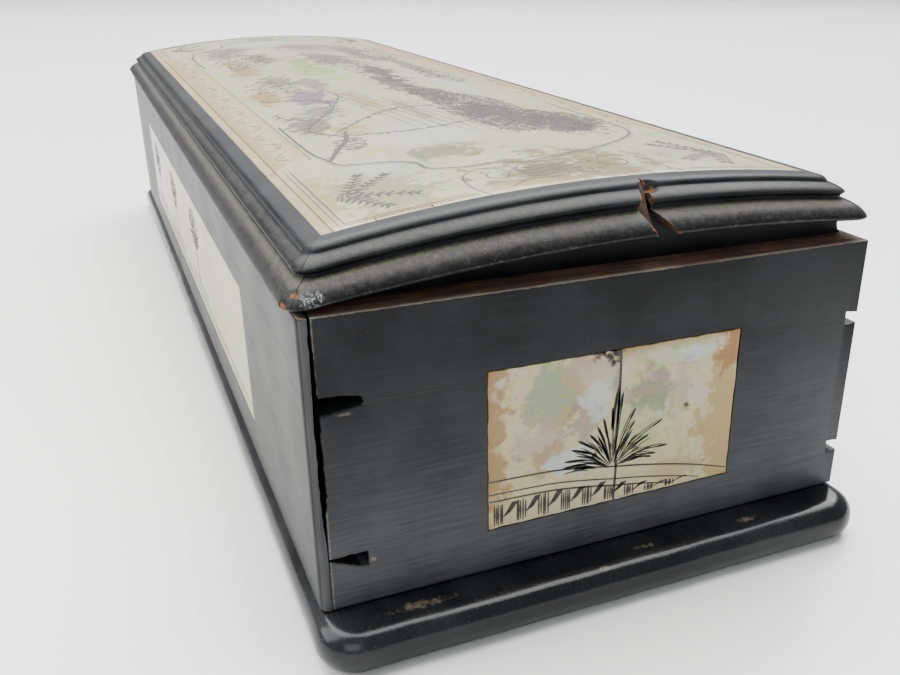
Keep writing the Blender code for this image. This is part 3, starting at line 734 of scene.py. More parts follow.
def build_base():
    """One plate with round corners and a rounded, dented edge, bare inside the box."""
    form = Form()
    steps = 7
    levels = []
    for i in range(steps + 1):
        angle = math.radians(90 * i / steps)
        levels.append((BASE_EDGE * (1 - math.sin(angle)), BASE_EDGE * (1 - math.cos(angle))))
    levels += [(inset, BASE_TOP - height) for inset, height in reversed(levels)]
    levels.append((BASE_EDGE + 0.5, BASE_TOP))
    rings = []
    for inset, height in levels:
        ring = []
        radius = max(BASE_CORNER - inset, 0.5)
        for quarter, (sx, sy) in enumerate(((1, 1), (-1, 1), (-1, -1), (1, -1))):
            centre = (sx * (base_high.x - inset - radius), sy * (base_high.y - inset - radius))
            ring += arc(centre, radius, 90 * quarter, 90 * quarter + 90, 10)
        row = []
        on_edge = inset < BASE_EDGE
        wear = 0.36 * (1 - abs(height - 0.62 * BASE_TOP) / BASE_TOP) * on_edge
        dust = 0.12 * (height < BASE_TOP - 0.3)
        for i, start in enumerate(ring):
            for x, y in fill_in(start, ring[(i + 1) % len(ring)], 3):
                dent = 0.22 * drift((x, y, height), 9, 3) + 0.08 * drift((x, y, height), 2.4, 5)
                shift = Vector((x, y)).normalized() * min(dent, 0.10) * on_edge
                row.append(form.point((x + shift.x, y + shift.y, height), wear=wear, dust=dust))
        rings.append(row)
    form.solid(rings)
    piece = form.plain_object("base_plate_rounded", materials("paint_base", "bare_long"))
    floor = Form()
    half_x, half_y = BOARD_INNER_X - 0.05, LONG_BOARD_INNER_Y - 0.05
    floor.box((-half_x, -half_y, BASE_TOP - 1), (half_x, half_y, BASE_TOP + 0.1), 1)
    combine(piece, floor, "UNION")
    settle(piece, "case", ("base_plate",))


def fill_in(start, end, step):
    """Places from start up to but not at end."""
    count = max(1, math.ceil(math.dist(start, end) / step))
    return [tuple(a + (b - a) * i / count for a, b in zip(start, end)) for i in range(count)]


CRACK_SHAPE = (
    (0, 0.06), (8, 0.10), (12.2, 0.18), (15.5, 0.42), (18.8, 0.86), (23, 1), (27, 0.85), (31, 0.9),
    (34, 1.05), (36.7, 0.75), (42, 0.62), (49.2, 0.45),
)


def crack_edges(z):
    """The two ragged sides of the open joint at a height: the front board's, then the end board's."""
    wide = bpy.context.scene.inlaid_box_wood.crack / MM
    above = min(max(z - BASE_TOP, 0), 49.1)
    width = CRACK_SHAPE[-1][1]
    for (low, first), (high, second) in zip(CRACK_SHAPE, CRACK_SHAPE[1:]):
        if low <= above <= high:
            width = first + (second - first) * (above - low) / (high - low)
            break
    width *= wide
    middle = END_FRONT_Y - 0.10 + 0.10 * drift((0, 0, z), 4, 2)
    jag = 0.22 * width
    front = middle - width / 2 + jag * drift((0, 1, z), 1.3, 7)
    back = middle + width / 2 + jag * (drift((0, 2, z), 0.9, 9) + 0.5 * drift((0, 3, z), 0.35, 4))
    return front, max(back, front + 0.05)


def front_board_ring(z, round_top):
    """The front board's outline in plan at a height, counterclockwise."""
    outer = -CASE_Y + round_top
    front_edge, _ = crack_edges(z)
    left_edge = END_FRONT_Y - 0.12
    points = []
    radius = 1.5 + 0.22 * drift((0, 0, z), 6, 12)
    far = CASE_X - round_top * 0.6
    points += [(x, outer) for x in spread(-CASE_X + 1.5, CASE_X - radius, 12)]
    right = arc((far - radius, outer + radius), radius, -90, 0, 7)[1:]
    points += [(x, min(y, front_edge - 0.02)) for x, y in right]
    points += [(far, front_edge), (BOARD_BETWEEN_X, front_edge), (BOARD_BETWEEN_X, -LONG_BOARD_INNER_Y)]
    points += [(-BOARD_BETWEEN_X, -LONG_BOARD_INNER_Y), (-BOARD_BETWEEN_X, left_edge), (-far, left_edge)]
    left = arc((-far + 1.5, outer + 1.5), 1.5, 180, 270, 7)[:-1]
    points += [(x, min(y, left_edge - 0.02)) for x, y in left]
    return points


def socket_outline(side, outer_y, depth, middle, narrow, wide):
    inner_y = outer_y - side * depth
    return [
        (outer_y, middle - narrow / 2), (outer_y, middle + narrow / 2),
        (inner_y, middle + wide / 2), (inner_y, middle - wide / 2),
    ]


SOCKET_MIDDLES = (BASE_TOP + 9, BASE_TOP + 35.2)


def add_pins(thing, side, outer_y, depth):
    """The dovetail pins that show in the left end board."""
    for middle in SOCKET_MIDDLES:
        form = Form()
        outline = socket_outline(side, outer_y, depth, middle, 1.85, 3.25)
        form.prism(outline, 0, -CASE_X + 0.05, -BOARD_BETWEEN_X + 2)
        combine(thing, form, "UNION")


def rim_box(low_y, high_y):
    """The raised rim on a long board, its top edges eased."""
    form = Form()
    top = SIDE_RIM_TOP
    half_x = BOARD_BETWEEN_X
    outline = ((-half_x, low_y), (half_x, low_y), (half_x, high_y), (-half_x, high_y))
    rings = []
    for inset, height in ((0, LEDGE - 1.5), (0, top - 0.35), (0.1, top - 0.1), (0.3, top)):
        rings.append([form.point((x, y, height)) for x, y in inset_outline(outline, inset * 1.4)])
    form.solid(rings)
    return form


def build_long_boards():
    """The front board with its laps, and the back board between the end boards."""
    rounding = {LEDGE - 0.2: 0.1, LEDGE - 0.05: 0.25, LEDGE: 0.5}
    slots = materials("paint_long", "bare_long", "paint_rail", "paint_lap")
    form = Form()
    rings = []
    for z in spread(CASE_BOTTOM, LEDGE - 0.5, 0.7) + list(rounding):
        rings.append([form.point((x, y, z)) for x, y in front_board_ring(z, rounding.get(z, 0))])
    form.solid(rings)
    front = form.plain_object("front_board_lapped", slots)
    bed = Form()
    bed.box((-100.3, -CASE_Y - 1, PLATE_LOW_Z - 0.2), (100.3, -CASE_Y + 1.1, PLATE_HIGH_Z + 0.2))
    combine(front, bed, "DIFFERENCE")
    combine(front, rim_box(-RIM_Y, -LONG_BOARD_INNER_Y), "UNION")
    add_pins(front, -1, END_FRONT_Y - 0.6, 7.2)
    form = Form()
    rings = []
    for z in spread(CASE_BOTTOM, LEDGE - 0.5, 4) + list(rounding):
        outer = CASE_Y - rounding.get(z, 0)
        ring = [(x, outer) for x in spread(BOARD_BETWEEN_X, -BOARD_BETWEEN_X, 12)]
        ring += [(-BOARD_BETWEEN_X, LONG_BOARD_INNER_Y), (BOARD_BETWEEN_X, LONG_BOARD_INNER_Y)]
        rings.append([form.point((x, y, z)) for x, y in ring])
    form.solid(rings)
    back = form.plain_object("back_board_plain", slots[:3])
    combine(back, rim_box(LONG_BOARD_INNER_Y, RIM_Y), "UNION")
    add_pins(back, 1, CASE_Y - 0.02, 8)
    for thing, node in ((front, "front_board"), (back, "back_board")):
        sort_faces(thing, inside_is_bare)
        for polygon in thing.data.polygons:
            if polygon.normal.x > 0.6 and polygon.center.x / MM > CASE_X - 1 and node == "front_board":
                polygon.material_index = 3
        settle(thing, "case", (node,))


def inside_is_bare(centre, normal):
    """The slot for a face: bare wood inside and on the ledge, plain paint on the rim, paint outside."""
    inner = abs(centre.x) < BOARD_INNER_X + 0.4 and abs(centre.y) < -END_FRONT_Y - 2
    inner = inner and centre.z > CASE_BOTTOM + 0.1
    ledge = centre.z > LEDGE - 0.03 and normal.z > 0.6
    in_joint = BOARD_INNER_X < abs(centre.x) < CASE_X - 1 and abs(normal.x) < 0.5
    hidden = in_joint and centre.z < LEDGE and abs(centre.y) < CASE_Y - 0.6 and abs(normal.y) > 0.3
    rim = centre.z > LEDGE + 0.1 and not inner
    return 1 if inner or ledge else 2 if rim or hidden else 0


def end_outline(end):
    """An end board's outline across the box, counterclockwise, with its sockets and its front edge."""
    points = [(-47, CASE_BOTTOM), (CASE_Y, CASE_BOTTOM)]
    depth, wide, lower = (2.5, 2.6, 0.5) if end > 0 else (8, 3.4, 0)
    back_size, front_size = (0.14, 0.16) if end > 0 else (0.02, 0.02)
    for middle in SOCKET_MIDDLES:
        a, b, c, d = socket_outline(1, CASE_Y, depth, middle - lower, 2, wide)
        points += rough([a, d, c, b], 0.45, back_size, middle)
    points.append((CASE_Y, LEDGE))
    if end > 0:
        shapes = (
            ((0, 36.9), (4.2, 36.6), (6.3, 36.1), (6.5, 34.9), (3, 34.4), (0, 34.1)),
            ((0, 9.65), (6.1, 9.7), (6.3, 7), (4.6, 7.3), (0, 9.25)),
        )
    else:
        whole = ((0, 1), (6.9, 1.7), (6.9, -1.7), (0, -1))
        shapes = [[(u, m - BASE_TOP + v) for u, v in whole] for m in reversed(SOCKET_MIDDLES)]
    high = LEDGE
    for i, shape in enumerate(shapes):
        points += [(edge_at(end, z), z) for z in spread(high, BASE_TOP + shape[0][1], 0.4)]
        line = [(edge_at(end, BASE_TOP + v) + u, BASE_TOP + v) for u, v in shape]
        points += rough(line, 0.4, front_size, 20 + i)[1:-1]
        high = BASE_TOP + shape[-1][1]
    return points + [(edge_at(end, z), z) for z in spread(high, CASE_BOTTOM, 0.4)]


def edge_at(end, z):
    return crack_edges(z)[1] if end > 0 else END_FRONT_Y


def build_end_boards():
    """The two end boards, the right one with its broken, empty sockets."""
    for end, side in ((1, "right"), (-1, "left")):
        form = Form()
        outline = end_outline(end)
        rings = []
        radius = 0.28
        profile = [(BOARD_INNER_X, 0), (CASE_X - radius, 0)]
        for angle in (30, 60, 90):
            a = math.radians(angle)
            profile.append((CASE_X - radius + radius * math.sin(a), radius * (1 - math.cos(a))))
        for x, inset in profile:
            rings.append([form.point((end * x, y, z)) for y, z in inset_outline(outline, inset)])
        form.solid(rings)
        slots = materials("paint_end", "bare_end", "paint_rail")
        board = form.plain_object(f"{side}_end_board_dovetailed", slots)
        bed = Form()
        low_x, high_x = sorted((end * (CASE_X - 1.1), end * (CASE_X + 1)))
        low_y, high_y = END_PLATE_LOW_Y - 0.12, END_PLATE_HIGH_Y + 0.12
        bed.box((low_x, low_y, PLATE_LOW_Z - 0.12), (high_x, high_y, PLATE_HIGH_Z + 0.12))
        combine(board, bed, "DIFFERENCE")
        rim = Form()
        shoulder = CASE_Y - 1.7
        outline = [(shoulder + 0.4, LEDGE - 2), (-RIM_Y, LEDGE - 2)]
        outline += [(y, rim_top(y) + 0.06 * drift((0, y, 0), 5, 31)) for y in spread(-RIM_Y, RIM_Y, 2)]
        outline += [(RIM_Y + 0.1, lid_height(RIM_Y) - 0.4), (shoulder - 0.2, lid_height(shoulder) - 0.4)]
        outline += [(shoulder - 0.3, LEDGE + 1.6), (shoulder, LEDGE + 0.6), (shoulder + 0.4, LEDGE + 0.2)]
        low_x, high_x = sorted((end * BOARD_INNER_X, end * RIM_X))
        rim.prism(outline, 0, low_x, high_x)
        combine(board, rim, "UNION")
        sort_faces(board, inside_is_bare)
        settle(board, "case", (f"{side}_end_board",))


# ---- Lid ----


def rail_outline(inset):
    """Half sizes and corner radius of the lid's outline, drawn in by an inset that the ends widen."""
    inner = max(0, inset - 5.2) / (RAIL_WIDTH - 5.2)
    radius = (LID_CORNER - 0.25 * inset) * (1 - inner) + LEAST_CORNER * inner
    return LID_X - inset * END_SPREAD, LID_Y - inset, radius


# Chips: centre, radius, depth, and how bare they are
CHIPS = (
    ((151.2, -49.8, 59.4), 1.1, 0.30, 0.50),
    ((151.2, -51.3, 58), 1.2, 0.35, 0.50),
    ((153.2, -48, 59), 2.6, 0.15, 0.1),
    ((147.3, 8.7, 68.3), 1.7, 1.2, 0.46),
    ((149.6, 11, 68.4), 0.9, 0.25, 0.4),
    ((152.6, 11.3, 66.9), 1.5, 0.3, 0.5),
    ((155.2, 33, 63), 1, 0.25, 0.4),
    ((20, -51.7, 58.4), 2.2, 0.25, 0.4),
)


def worn_point(form, x, y, z, dust, wear):
    """A point of a rail, wandering a little and pushed in where the rail is chipped."""
    here = Vector((x, y, z))
    bare = 0
    inward = Vector((-x / LID_X * 0.4, -y / LID_Y * 0.6, -0.5)).normalized()
    push = 0.045 * drift(here, 7, 1) + 0.03 * drift(here, 1.9, 2)
    for centre, radius, depth, how_bare in CHIPS:
        away = (here - Vector(centre)).length / radius
        if away < 1:
            share = min(1, 1.6 * (1 - away)) * (0.75 + 0.5 * drift(here, 0.7, 8))
            push += depth * share
            bare = max(bare, how_bare * min(1, 2.2 * (1 - away)))
    here += inward * push
    return form.point(here, dust=dust, wear=wear, bare=bare)


def break_front(height):
    """Where the front half of the broken rail ends, at a height in its section: nearly upright."""
    high = max(0, height - 3) / 3.3
    lip = max(0, 1 - height / 2.6)
    return 5.6 + 2.3 * high ** 2.2 + 1.6 * lip + 0.16 * drift((height, 0, 0), 0.8, 14)


def break_back(height):
    """Where the back half starts: at the front half's end on top, slanting away from it to the lip."""
    high = max(0, height - 3) / 3.3
    low = max(0, 1 - height / 3)
    return 7.9 + 3.6 * low + 0.12 * high + 0.22 * drift((height, 5, 0), 0.7, 15) * (1 - high)


def graded(low, high, coarse, fine, near):
    """Places from low to high, closer together within 14 mm of each place in near."""
    made = [low]
    while made[-1] < high - 1e-6:
        here = made[-1]
        step = fine if any(abs(here - place) < 14 for place in near) else coarse
        made.append(min(here + step, high))
    if len(made) > 2 and made[-1] - made[-2] < fine * 0.4:
        made.pop(-2)
    return made


def long_rail_paths(side, low_steps):
    def path_at(inset, _height):
        half_x, half_y, radius = rail_outline(inset)
        centre_x, centre_y = half_x - radius, side * (half_y - radius)
        left = arc((-centre_x + MITRE_SETBACK, centre_y), radius, side * 135, side * 90, 7)
        right = arc((centre_x - MITRE_SETBACK, centre_y), radius, side * 90, side * 45, 7)
        middle = [(t * centre_x, side * half_y) for t in low_steps]
        return left + middle + right
    return path_at


def end_rail_paths(end, shares, low_y=None, high_y=None):
    def path_at(inset, height):
        half_x, half_y, radius = rail_outline(inset)
        centre_x, centre_y = half_x - radius, half_y - radius - MITRE_SETBACK
        start = -centre_y if low_y is None else low_y(height)
        stop = centre_y if high_y is None else high_y(height)
        path = []
        if low_y is None:
            path += arc((centre_x, -centre_y), radius, -45, 0, 7)[:-1]
        path += [(half_x, start + (stop - start) * t) for t in shares]
        if high_y is None:
            path += arc((centre_x, centre_y), radius, 0, 45, 7)[1:]
        return [(end * x, y) for x, y in path]
    return path_at


def roughen(mesh, cap):
    """Cuts a broken end's cap into small faces that stand in and out."""
    made = bmesh.ops.triangulate(mesh, faces=[cap])
    inner = set()
    for face in made["faces"]:
        for edge in face.edges:
            if not edge.is_boundary and len({near.material_index for near in edge.link_faces}) == 1:
                inner.add(edge)
    cut = bmesh.ops.subdivide_edges(mesh, edges=list(inner), cuts=3, use_grid_fill=True)
    for part in cut["geom_inner"]:
        if isinstance(part, bmesh.types.BMVert):
            rugged = 0.55 * drift(part.co / MM, 1.4, 17) + 0.3 * drift(part.co / MM, 0.5, 18)
            part.co.y += rugged * MM * 0.6


def build_rail(name, node, path_at, paint, broken_ends=()):
    """A moulded rail swept along its path, with raw wood where it is broken through."""
    form = Form()
    section = soften(RAIL_FACE, 2) + [(inset, height, 0, 0) for inset, height in RAIL_UNDERSIDE]
    across_end = "end" in paint
    lines = []
    for inset, height, dust, wear in section:
        dropped = across_end and (inset, height) not in RAIL_UNDERSIDE[1:]
        drop = END_DROP * (1 - height / RAIL_HEIGHT) * dropped
        line = []
        for x, y in path_at(inset, height):
            z = lid_height(y) + height - drop * (1 - (y / LID_Y) ** 2)
            line.append(worn_point(form, x, y, z, dust, wear))
        for end in broken_ends:
            line[end][form.layers["bare"]] = 0.48
        lines.append(line)
    form.skin(lines + [lines[0]], closed=False)
    for end in sorted((0, -1), key=lambda end: end in broken_ends):
        broken = end in broken_ends
        cap = form.face([line[end] for line in lines], 1 if broken else 0)
        if broken:
            roughen(form.mesh, cap)
    rail = form.plain_object(name, materials(paint, "broken", "bare_end"))
    for polygon in rail.data.polygons:
        centre = polygon.center / MM
        inset = (LID_X - abs(centre.x)) / END_SPREAD if across_end else LID_Y - abs(centre.y)
        if polygon.normal.z < -0.8 and polygon.material_index == 0 and inset > 4.8:
            polygon.material_index = 2
    return settle(rail, "lid", (node,), 50)


def build_rails():
    """The four moulded rails round the lid, the right one in two halves."""
    long_steps = [x / 151.4 for x in graded(-151.4, 151.4, 2.6, 0.7, (151.4,))][1:-1]
    even = [i / 50 for i in range(51)]
    fine = [i / 90 for i in range(91)]
    for node, paths, paint, broken_ends in (
        ("lid_front_rail", long_rail_paths(-1, long_steps), "paint_rail", ()),
        ("lid_back_rail", long_rail_paths(1, long_steps), "paint_rail", ()),
        ("lid_left_rail", end_rail_paths(-1, even), "paint_end_rail", ()),
        ("lid_right_rail_front", end_rail_paths(1, fine, high_y=break_front), "paint_end_rail", (-1,)),
        ("lid_right_rail_back", end_rail_paths(1, fine, low_y=break_back), "paint_end_rail", (0,)),
    ):
        build_rail(node + "_moulded", node, paths, paint, broken_ends)


def build_panel():
    """The arched board that the lid's pearl is glued to."""
    form = Form()
    half_x, half_y = LID_X - (RAIL_WIDTH + 0.05) * END_SPREAD, LID_Y - RAIL_WIDTH - 0.05
    rows = []
    for y in spread(-half_y, half_y, 2.4):
        low, high = lid_height(y) + SOFFIT, lid_height(y) + PANEL_BED
        outline = ((-half_x, low), (half_x, low), (half_x, high), (-half_x, high))
        rows.append([form.point((x, y, z)) for x, z in outline])
    form.solid(rows)
    panel = form.plain_object("lid_panel_arched", materials("paint_rail", "bare_long"))
    sort_faces(panel, lambda centre, normal: 1 if normal.z < -0.5 else 0)
    settle(panel, "lid", ("lid_panel",))


# ---- Pearl ----


def on_lid(u, v, w):
    return u, v, lid_height(v) + PEARL_TOP + w


def on_right_end(u, v, w):
    return CASE_X + w, u, v


def on_left_end(u, v, w):
    return -CASE_X - w, -u, v


def on_front(u, v, w):
    return u, -CASE_Y - w, v


def plate(
    name, place, low, high, finish_name, body, node, gaps=(1, 1, 1, 1), skins=(1, 1, 1, 1), seed=0,
    warp=None, step=2.4, ragged=0.05, notch=None,
):
    """A thin plate with a ragged edge. gaps and skins are for its low u, high u, low v and high v."""
    seam = bpy.context.scene.inlaid_box_pearl.seam / MM / 2
    low_u, high_u = low[0] + seam * gaps[0], high[0] - seam * gaps[1]
    low_v, high_v = low[1] + seam * gaps[2], high[1] - seam * gaps[3]
    us, vs = spread(low_u, high_u, step), spread(low_v, high_v, step)
    form = Form()

    def at(i, j, inset, w):
        u, v = us[i], vs[j]
        sides = (i == 0, i == len(us) - 1, j == 0, j == len(vs) - 1)
        if sides[0] or sides[1]:
            u += ragged * drift((u, v, seed), 1.7, 21) * (gaps[0] if sides[0] else gaps[1])
        if sides[2] or sides[3]:
            v += ragged * drift((v, u, seed), 1.7, 22) * (gaps[2] if sides[2] else gaps[3])
        u += inset * (sides[0] * gaps[0] - sides[1] * gaps[1])
        v += inset * (sides[2] * gaps[2] - sides[3] * gaps[3])
        skin = 0
        for k, distance in enumerate((us[i] - low_u, high_u - us[i], vs[j] - low_v, high_v - vs[j])):
            skin = max(skin, skins[k] * max(0, 1 - distance / 5))
        if warp:
            u, v = warp(u, v)
        return form.point(place(u, v, w), edge=skin, plate=seed)

    top = [[at(i, j, 0.10, 0) for j in range(len(vs))] for i in range(len(us))]
    for i in range(len(us) - 1):
        for j in range(len(vs) - 1):
            form.face((top[i][j], top[i + 1][j], top[i + 1][j + 1], top[i][j + 1]))
    last_u, last_v = len(us) - 1, len(vs) - 1
    border = [(i, 0) for i in range(last_u)] + [(last_u, j) for j in range(last_v)]
    border += [(i, last_v) for i in range(last_u, 0, -1)] + [(0, j) for j in range(last_v, 0, -1)]
    rings = [[top[i][j] for i, j in border]]
    for inset, w in ((0.03, -0.03), (0, -0.12), (0, -PEARL_THICKNESS)):
        rings.append([at(i, j, inset, w) for i, j in border])
    form.skin(rings)
    under = {key: vert for key, vert in zip(border, rings[-1])}
    for i in range(len(us)):
        for j in range(len(vs)):
            if (i, j) not in under:
                under[i, j] = at(i, j, 0, -PEARL_THICKNESS)
    for i in range(len(us) - 1):
        for j in range(len(vs) - 1):
            form.face((under[i, j], under[i, j + 1], under[i + 1, j + 1], under[i + 1, j]))
    piece = form.plain_object(name, materials(finish_name))
    if notch:
        hole = Form()
        hole.box((*notch[0], LEDGE), (*notch[1], LEDGE + 30))
        combine(piece, hole, "DIFFERENCE", materials(finish_name))
    return settle(piece, body, (node,), 30)


def build_case_pearl():
    """Two plates in each end board and a row of four in the front board."""
    middle = (END_PLATE_LOW_Y + END_PLATE_HIGH_Y) / 2
    for side, place, sign in (("right", on_right_end, 1), ("left", on_left_end, -1)):
        for half, low, high, skins, seed in (
            ("front", END_PLATE_LOW_Y, middle, (0.8, 0.1, 0.4, 0.5), 0.13),
            ("back", middle, END_PLATE_HIGH_Y, (0.1, 0.7, 0.3, 0.8), 0.41),
        ):
            low_u, high_u = sorted((sign * low, sign * high))
            plate(
                f"{side}_end_plate_{half}", place, (low_u, PLATE_LOW_Z), (high_u, PLATE_HIGH_Z),
                "pearl_end", "case", f"{side}_end_pearl_{half}", skins=skins, seed=seed, step=0.8,
                ragged=0.16,
            )
    width = 200 / 4
    for i in range(4):
        low_x = -100 + width * i
        plate(
            f"front_plate_{i + 1}", on_front, (low_x, PLATE_LOW_Z), (low_x + width, PLATE_HIGH_Z),
            "pearl_front", "case", f"front_pearl_{i + 1}", skins=(0.5, 0.5, 0.5, 0.3), seed=0.2 + 0.17 * i,
            step=1.4, ragged=0.12,
        )


def slanted_corner(u, v):
    """Moves the seam between the side plate and the corner plate, so that it leans inwards."""
    near = max(0, 1 - abs(u - MEDALLION_X) / 30)
    lean = min(1, max(0, (v + 41.6) / 7.6))
    return u - 4.8 * near * lean * (1 if v < -33.9 else max(0, 1 - (v + 33.9) / 3)), v


def build_lid_pearl():
    """Stringing round the lid, side plates, corner plates, medallions and the six plates of the scene."""
    half_x, half_y = LID_X - RAIL_WIDTH * END_SPREAD, LID_Y - RAIL_WIDTH
    inner_y = half_y - 1.9
    seams = (-half_x, 30.6, MEDALLION_X, half_x)
    for sign, where in ((-1, "front"), (1, "back")):
        low_y, high_y = sorted((sign * half_y, sign * inner_y))
        for i in range(3):
            plate(
                f"stringing_strip_{where}_{i + 1}", on_lid, (seams[i], low_y), (seams[i + 1], high_y),
                "pearl_border", "lid", f"stringing_{where}_{i + 1}", skins=(0.4, 0.4, 0.3, 0.3),
                seed=0.3 + 0.11 * i,
            )
    column = 2 * MEDALLION_X / 3
    for i in range(3):
        low_x = -MEDALLION_X + column * i
        bands = (
            ("border_pearl_front", -inner_y, -34, "pearl_border", (1, 1, 1, 1), (0.2, 0.2, 0.6, 0.3)),
            ("scene_pearl_front", -34, 0, "pearl_lid", (0.1, 0.1, 1, 0.1), (0, 0, 0, 0)),
            ("scene_pearl_back", 0, 34, "pearl_lid", (0.1, 0.1, 0.1, 1), (0, 0, 0, 0)),
            ("border_pearl_back", 34, inner_y, "pearl_border", (1, 1, 1, 1), (0.2, 0.2, 0.3, 0.6)),
        )
        for name, low_y, high_y, finish_name, gaps, skins in bands:
            seed = 0 if "scene" in name else 0.07 + 0.13 * i
            warp = slanted_corner if name == "border_pearl_front" and i == 2 else None
            plate(
                f"{name.replace('pearl', 'plate')}_{i + 1}", on_lid, (low_x, low_y),
                (low_x + column, high_y), finish_name, "lid", f"{name}_{i + 1}", gaps, skins, seed, warp,
            )
    for sign, where in ((-1, "left"), (1, "right")):
        low_x, high_x = sorted((sign * MEDALLION_X, sign * half_x))
        inner = (0.1, 1) if sign > 0 else (1, 0.1)
        outer_skin = (0, 0.5) if sign > 0 else (0.5, 0)
        plate(
            f"medallion_plate_{where}", on_lid, (low_x, -17), (high_x, 17), "pearl_lid", "lid",
            f"medallion_pearl_{where}", (*inner, 0.2, 0.2), (*outer_skin, 0, 0),
        )
        plate(
            f"corner_plate_{where}_back", on_lid, (low_x, 17), (high_x, inner_y), "pearl_lid", "lid",
            f"corner_pearl_{where}_back", (*inner, 0.2, 1), (*outer_skin, 0, 0.6),
        )
        edge_low, edge_high = sorted((sign * (half_x - 1.4), sign * half_x))
        plate(
            f"corner_plate_{where}_front", on_lid, (low_x, -inner_y), (high_x, -17), "pearl_lid", "lid",
            f"corner_pearl_{where}_front", (*inner, 1, 0.2), (*outer_skin, 0.6, 0),
            warp=slanted_corner if sign > 0 else None,
            notch=((edge_low - 0.08, -35.1), (edge_high + 0.5, -25.9)),
        )
        plate(
            f"stringing_strip_{where}_end", on_lid, (edge_low, -35), (edge_high, -26), "pearl_border",
            "lid", f"stringing_{where}_end", skins=(0.3, 0.3, 0.2, 0.2), seed=0.9,
        )


# ---- Engraving ----


CUT_DEPTH = 0.08
INK_PROUD = 0.02


class Cutter:
    """Draws cut and filled lines on one surface, each a thin closed ribbon sunk into the plate."""

    def __init__(self, place, seed):
        self.form = Form()
        self.place = place
        self.random = random.Random(seed)
        self.line_width = bpy.context.scene.inlaid_box_pearl.line / MM

    def line(self, points, width=1, taper=(0.5, 0.5)):
        """A line through points, its width a share of the usual one, narrowing to taper at its ends."""
        points = [Vector(point) for point in points]
        rings = []
        count = len(points)
        for i, point in enumerate(points):
            along = points[min(i + 1, count - 1)] - points[max(i - 1, 0)]
            if along.length < 1e-6:
                return
            across = Vector((-along.y, along.x)).normalized()
            share = i / (count - 1)
            first = share * 4 * (1 - taper[0]) + taper[0]
            last = (1 - share) * 4 * (1 - taper[1]) + taper[1]
            reach = across * (self.line_width * width * min(1, first, last) / 2)
            low, high = point - reach, point + reach
            corners = ((low, INK_PROUD), (high, INK_PROUD), (high, -CUT_DEPTH), (low, -CUT_DEPTH))
            rings.append([self.form.point(self.place(p.x, p.y, w)) for p, w in corners])
        self.form.solid(rings)

    def curve(self, points, step=1.2, **style):
        """A smooth line through a few points."""
        self.line(smooth_line(points, step), **style)

    def leaf(self, start, end, width, bend=0.15):
        """A leaf-shaped dab from start to end."""
        start, end = Vector(start), Vector(end)
        along = end - start
        across = Vector((-along.y, along.x))
        middle = start + along * 0.5 + across * bend
        self.line(smooth_line((start, middle, end), along.length / 4), width, (0.15, 0.1))

    def ring(self, centre, radius, width=0.8):
        self.line(arc(centre, radius, 0, 330, 9), width, (0.9, 0.9))

    def hatch(self, low, high, count, width):
        """Upright parallel lines between two heights."""
        for i in range(count):
            u = low[0] + (high[0] - low[0]) * (i + 0.5) / count + self.random.uniform(-0.1, 0.1)
            cut = self.random.uniform(0, 0.15) * (high[1] - low[1])
            self.line([(u, low[1] + cut), (u, (low[1] + high[1]) / 2), (u, high[1] - cut)], width)

    def foliage(self, outline, spacing, size, width, lean=(0, 360)):
        """Fills an outline with small leaf dabs."""
        low_u, high_u = min(p[0] for p in outline), max(p[0] for p in outline)
        low_v, high_v = min(p[1] for p in outline), max(p[1] for p in outline)
        for u in spread(low_u, high_u, spacing):
            for v in spread(low_v, high_v, spacing):
                a = u + self.random.uniform(-0.5, 0.5) * spacing
                b = v + self.random.uniform(-0.5, 0.5) * spacing
                angle = math.radians(self.random.uniform(*lean))
                length = size * self.random.uniform(0.7, 1.3)
                if inside(outline, a, b):
                    self.leaf((a, b), (a + length * math.cos(angle), b + length * math.sin(angle)), width)

    def piece(self, name, body):
        thing = self.form.plain_object(name, materials("ink"))
        return settle(thing, body, (), 60)


def smooth_line(points, step):
    """Points on a smooth curve through the given ones."""
    points = [Vector(point) for point in points]
    if len(points) < 3:
        return points
    made = []
    for i in range(len(points) - 1):
        before = points[max(i - 1, 0)]
        start, end = points[i], points[i + 1]
        after = points[min(i + 2, len(points) - 1)]
        count = max(1, round((end - start).length / step))
        for k in range(count):
            t = k / count
            made.append(0.5 * (
                2 * start + (end - before) * t + (2 * before - 5 * start + 4 * end - after) * t * t
                + (3 * start - before - 3 * end + after) * t * t * t
            ))
    return made + [points[-1]]


def inside(outline, u, v):
    """Whether a point lies in a closed outline."""
    found = False
    for (au, av), (bu, bv) in zip(outline, outline[1:] + outline[:1]):
        if (av > v) != (bv > v) and u < (bu - au) * (v - av) / (bv - av) + au:
            found = not found
    return found


PALM_FOOT = (0.5, 22.6)
PALM_TIPS = (
    (-9, 24.2), (-8.6, 25.4), (-7.4, 27.4), (-6.2, 28.9), (-4, 29.6), (-2.6, 30.8), (-1.5, 32.2),
    (0.1, 33.9), (2, 36.4), (4.6, 33), (4.6, 30.6), (10.1, 29.8), (7.4, 27.2), (11.5, 24.6), (9.2, 23.4),
    (8.3, 22.9),
)
GROUND_LINE = (
    (-22, 24.7), (-11, 24.3), (-4, 23.4), (1, 22.5), (6, 21.7), (13, 20.3), (18.5, 18.9), (24.4, 17.1),
)


def ground(level):
    """The gently arched ground line over the end plates, by how far down it is."""
    return [(u, v - level) for u, v in GROUND_LINE]


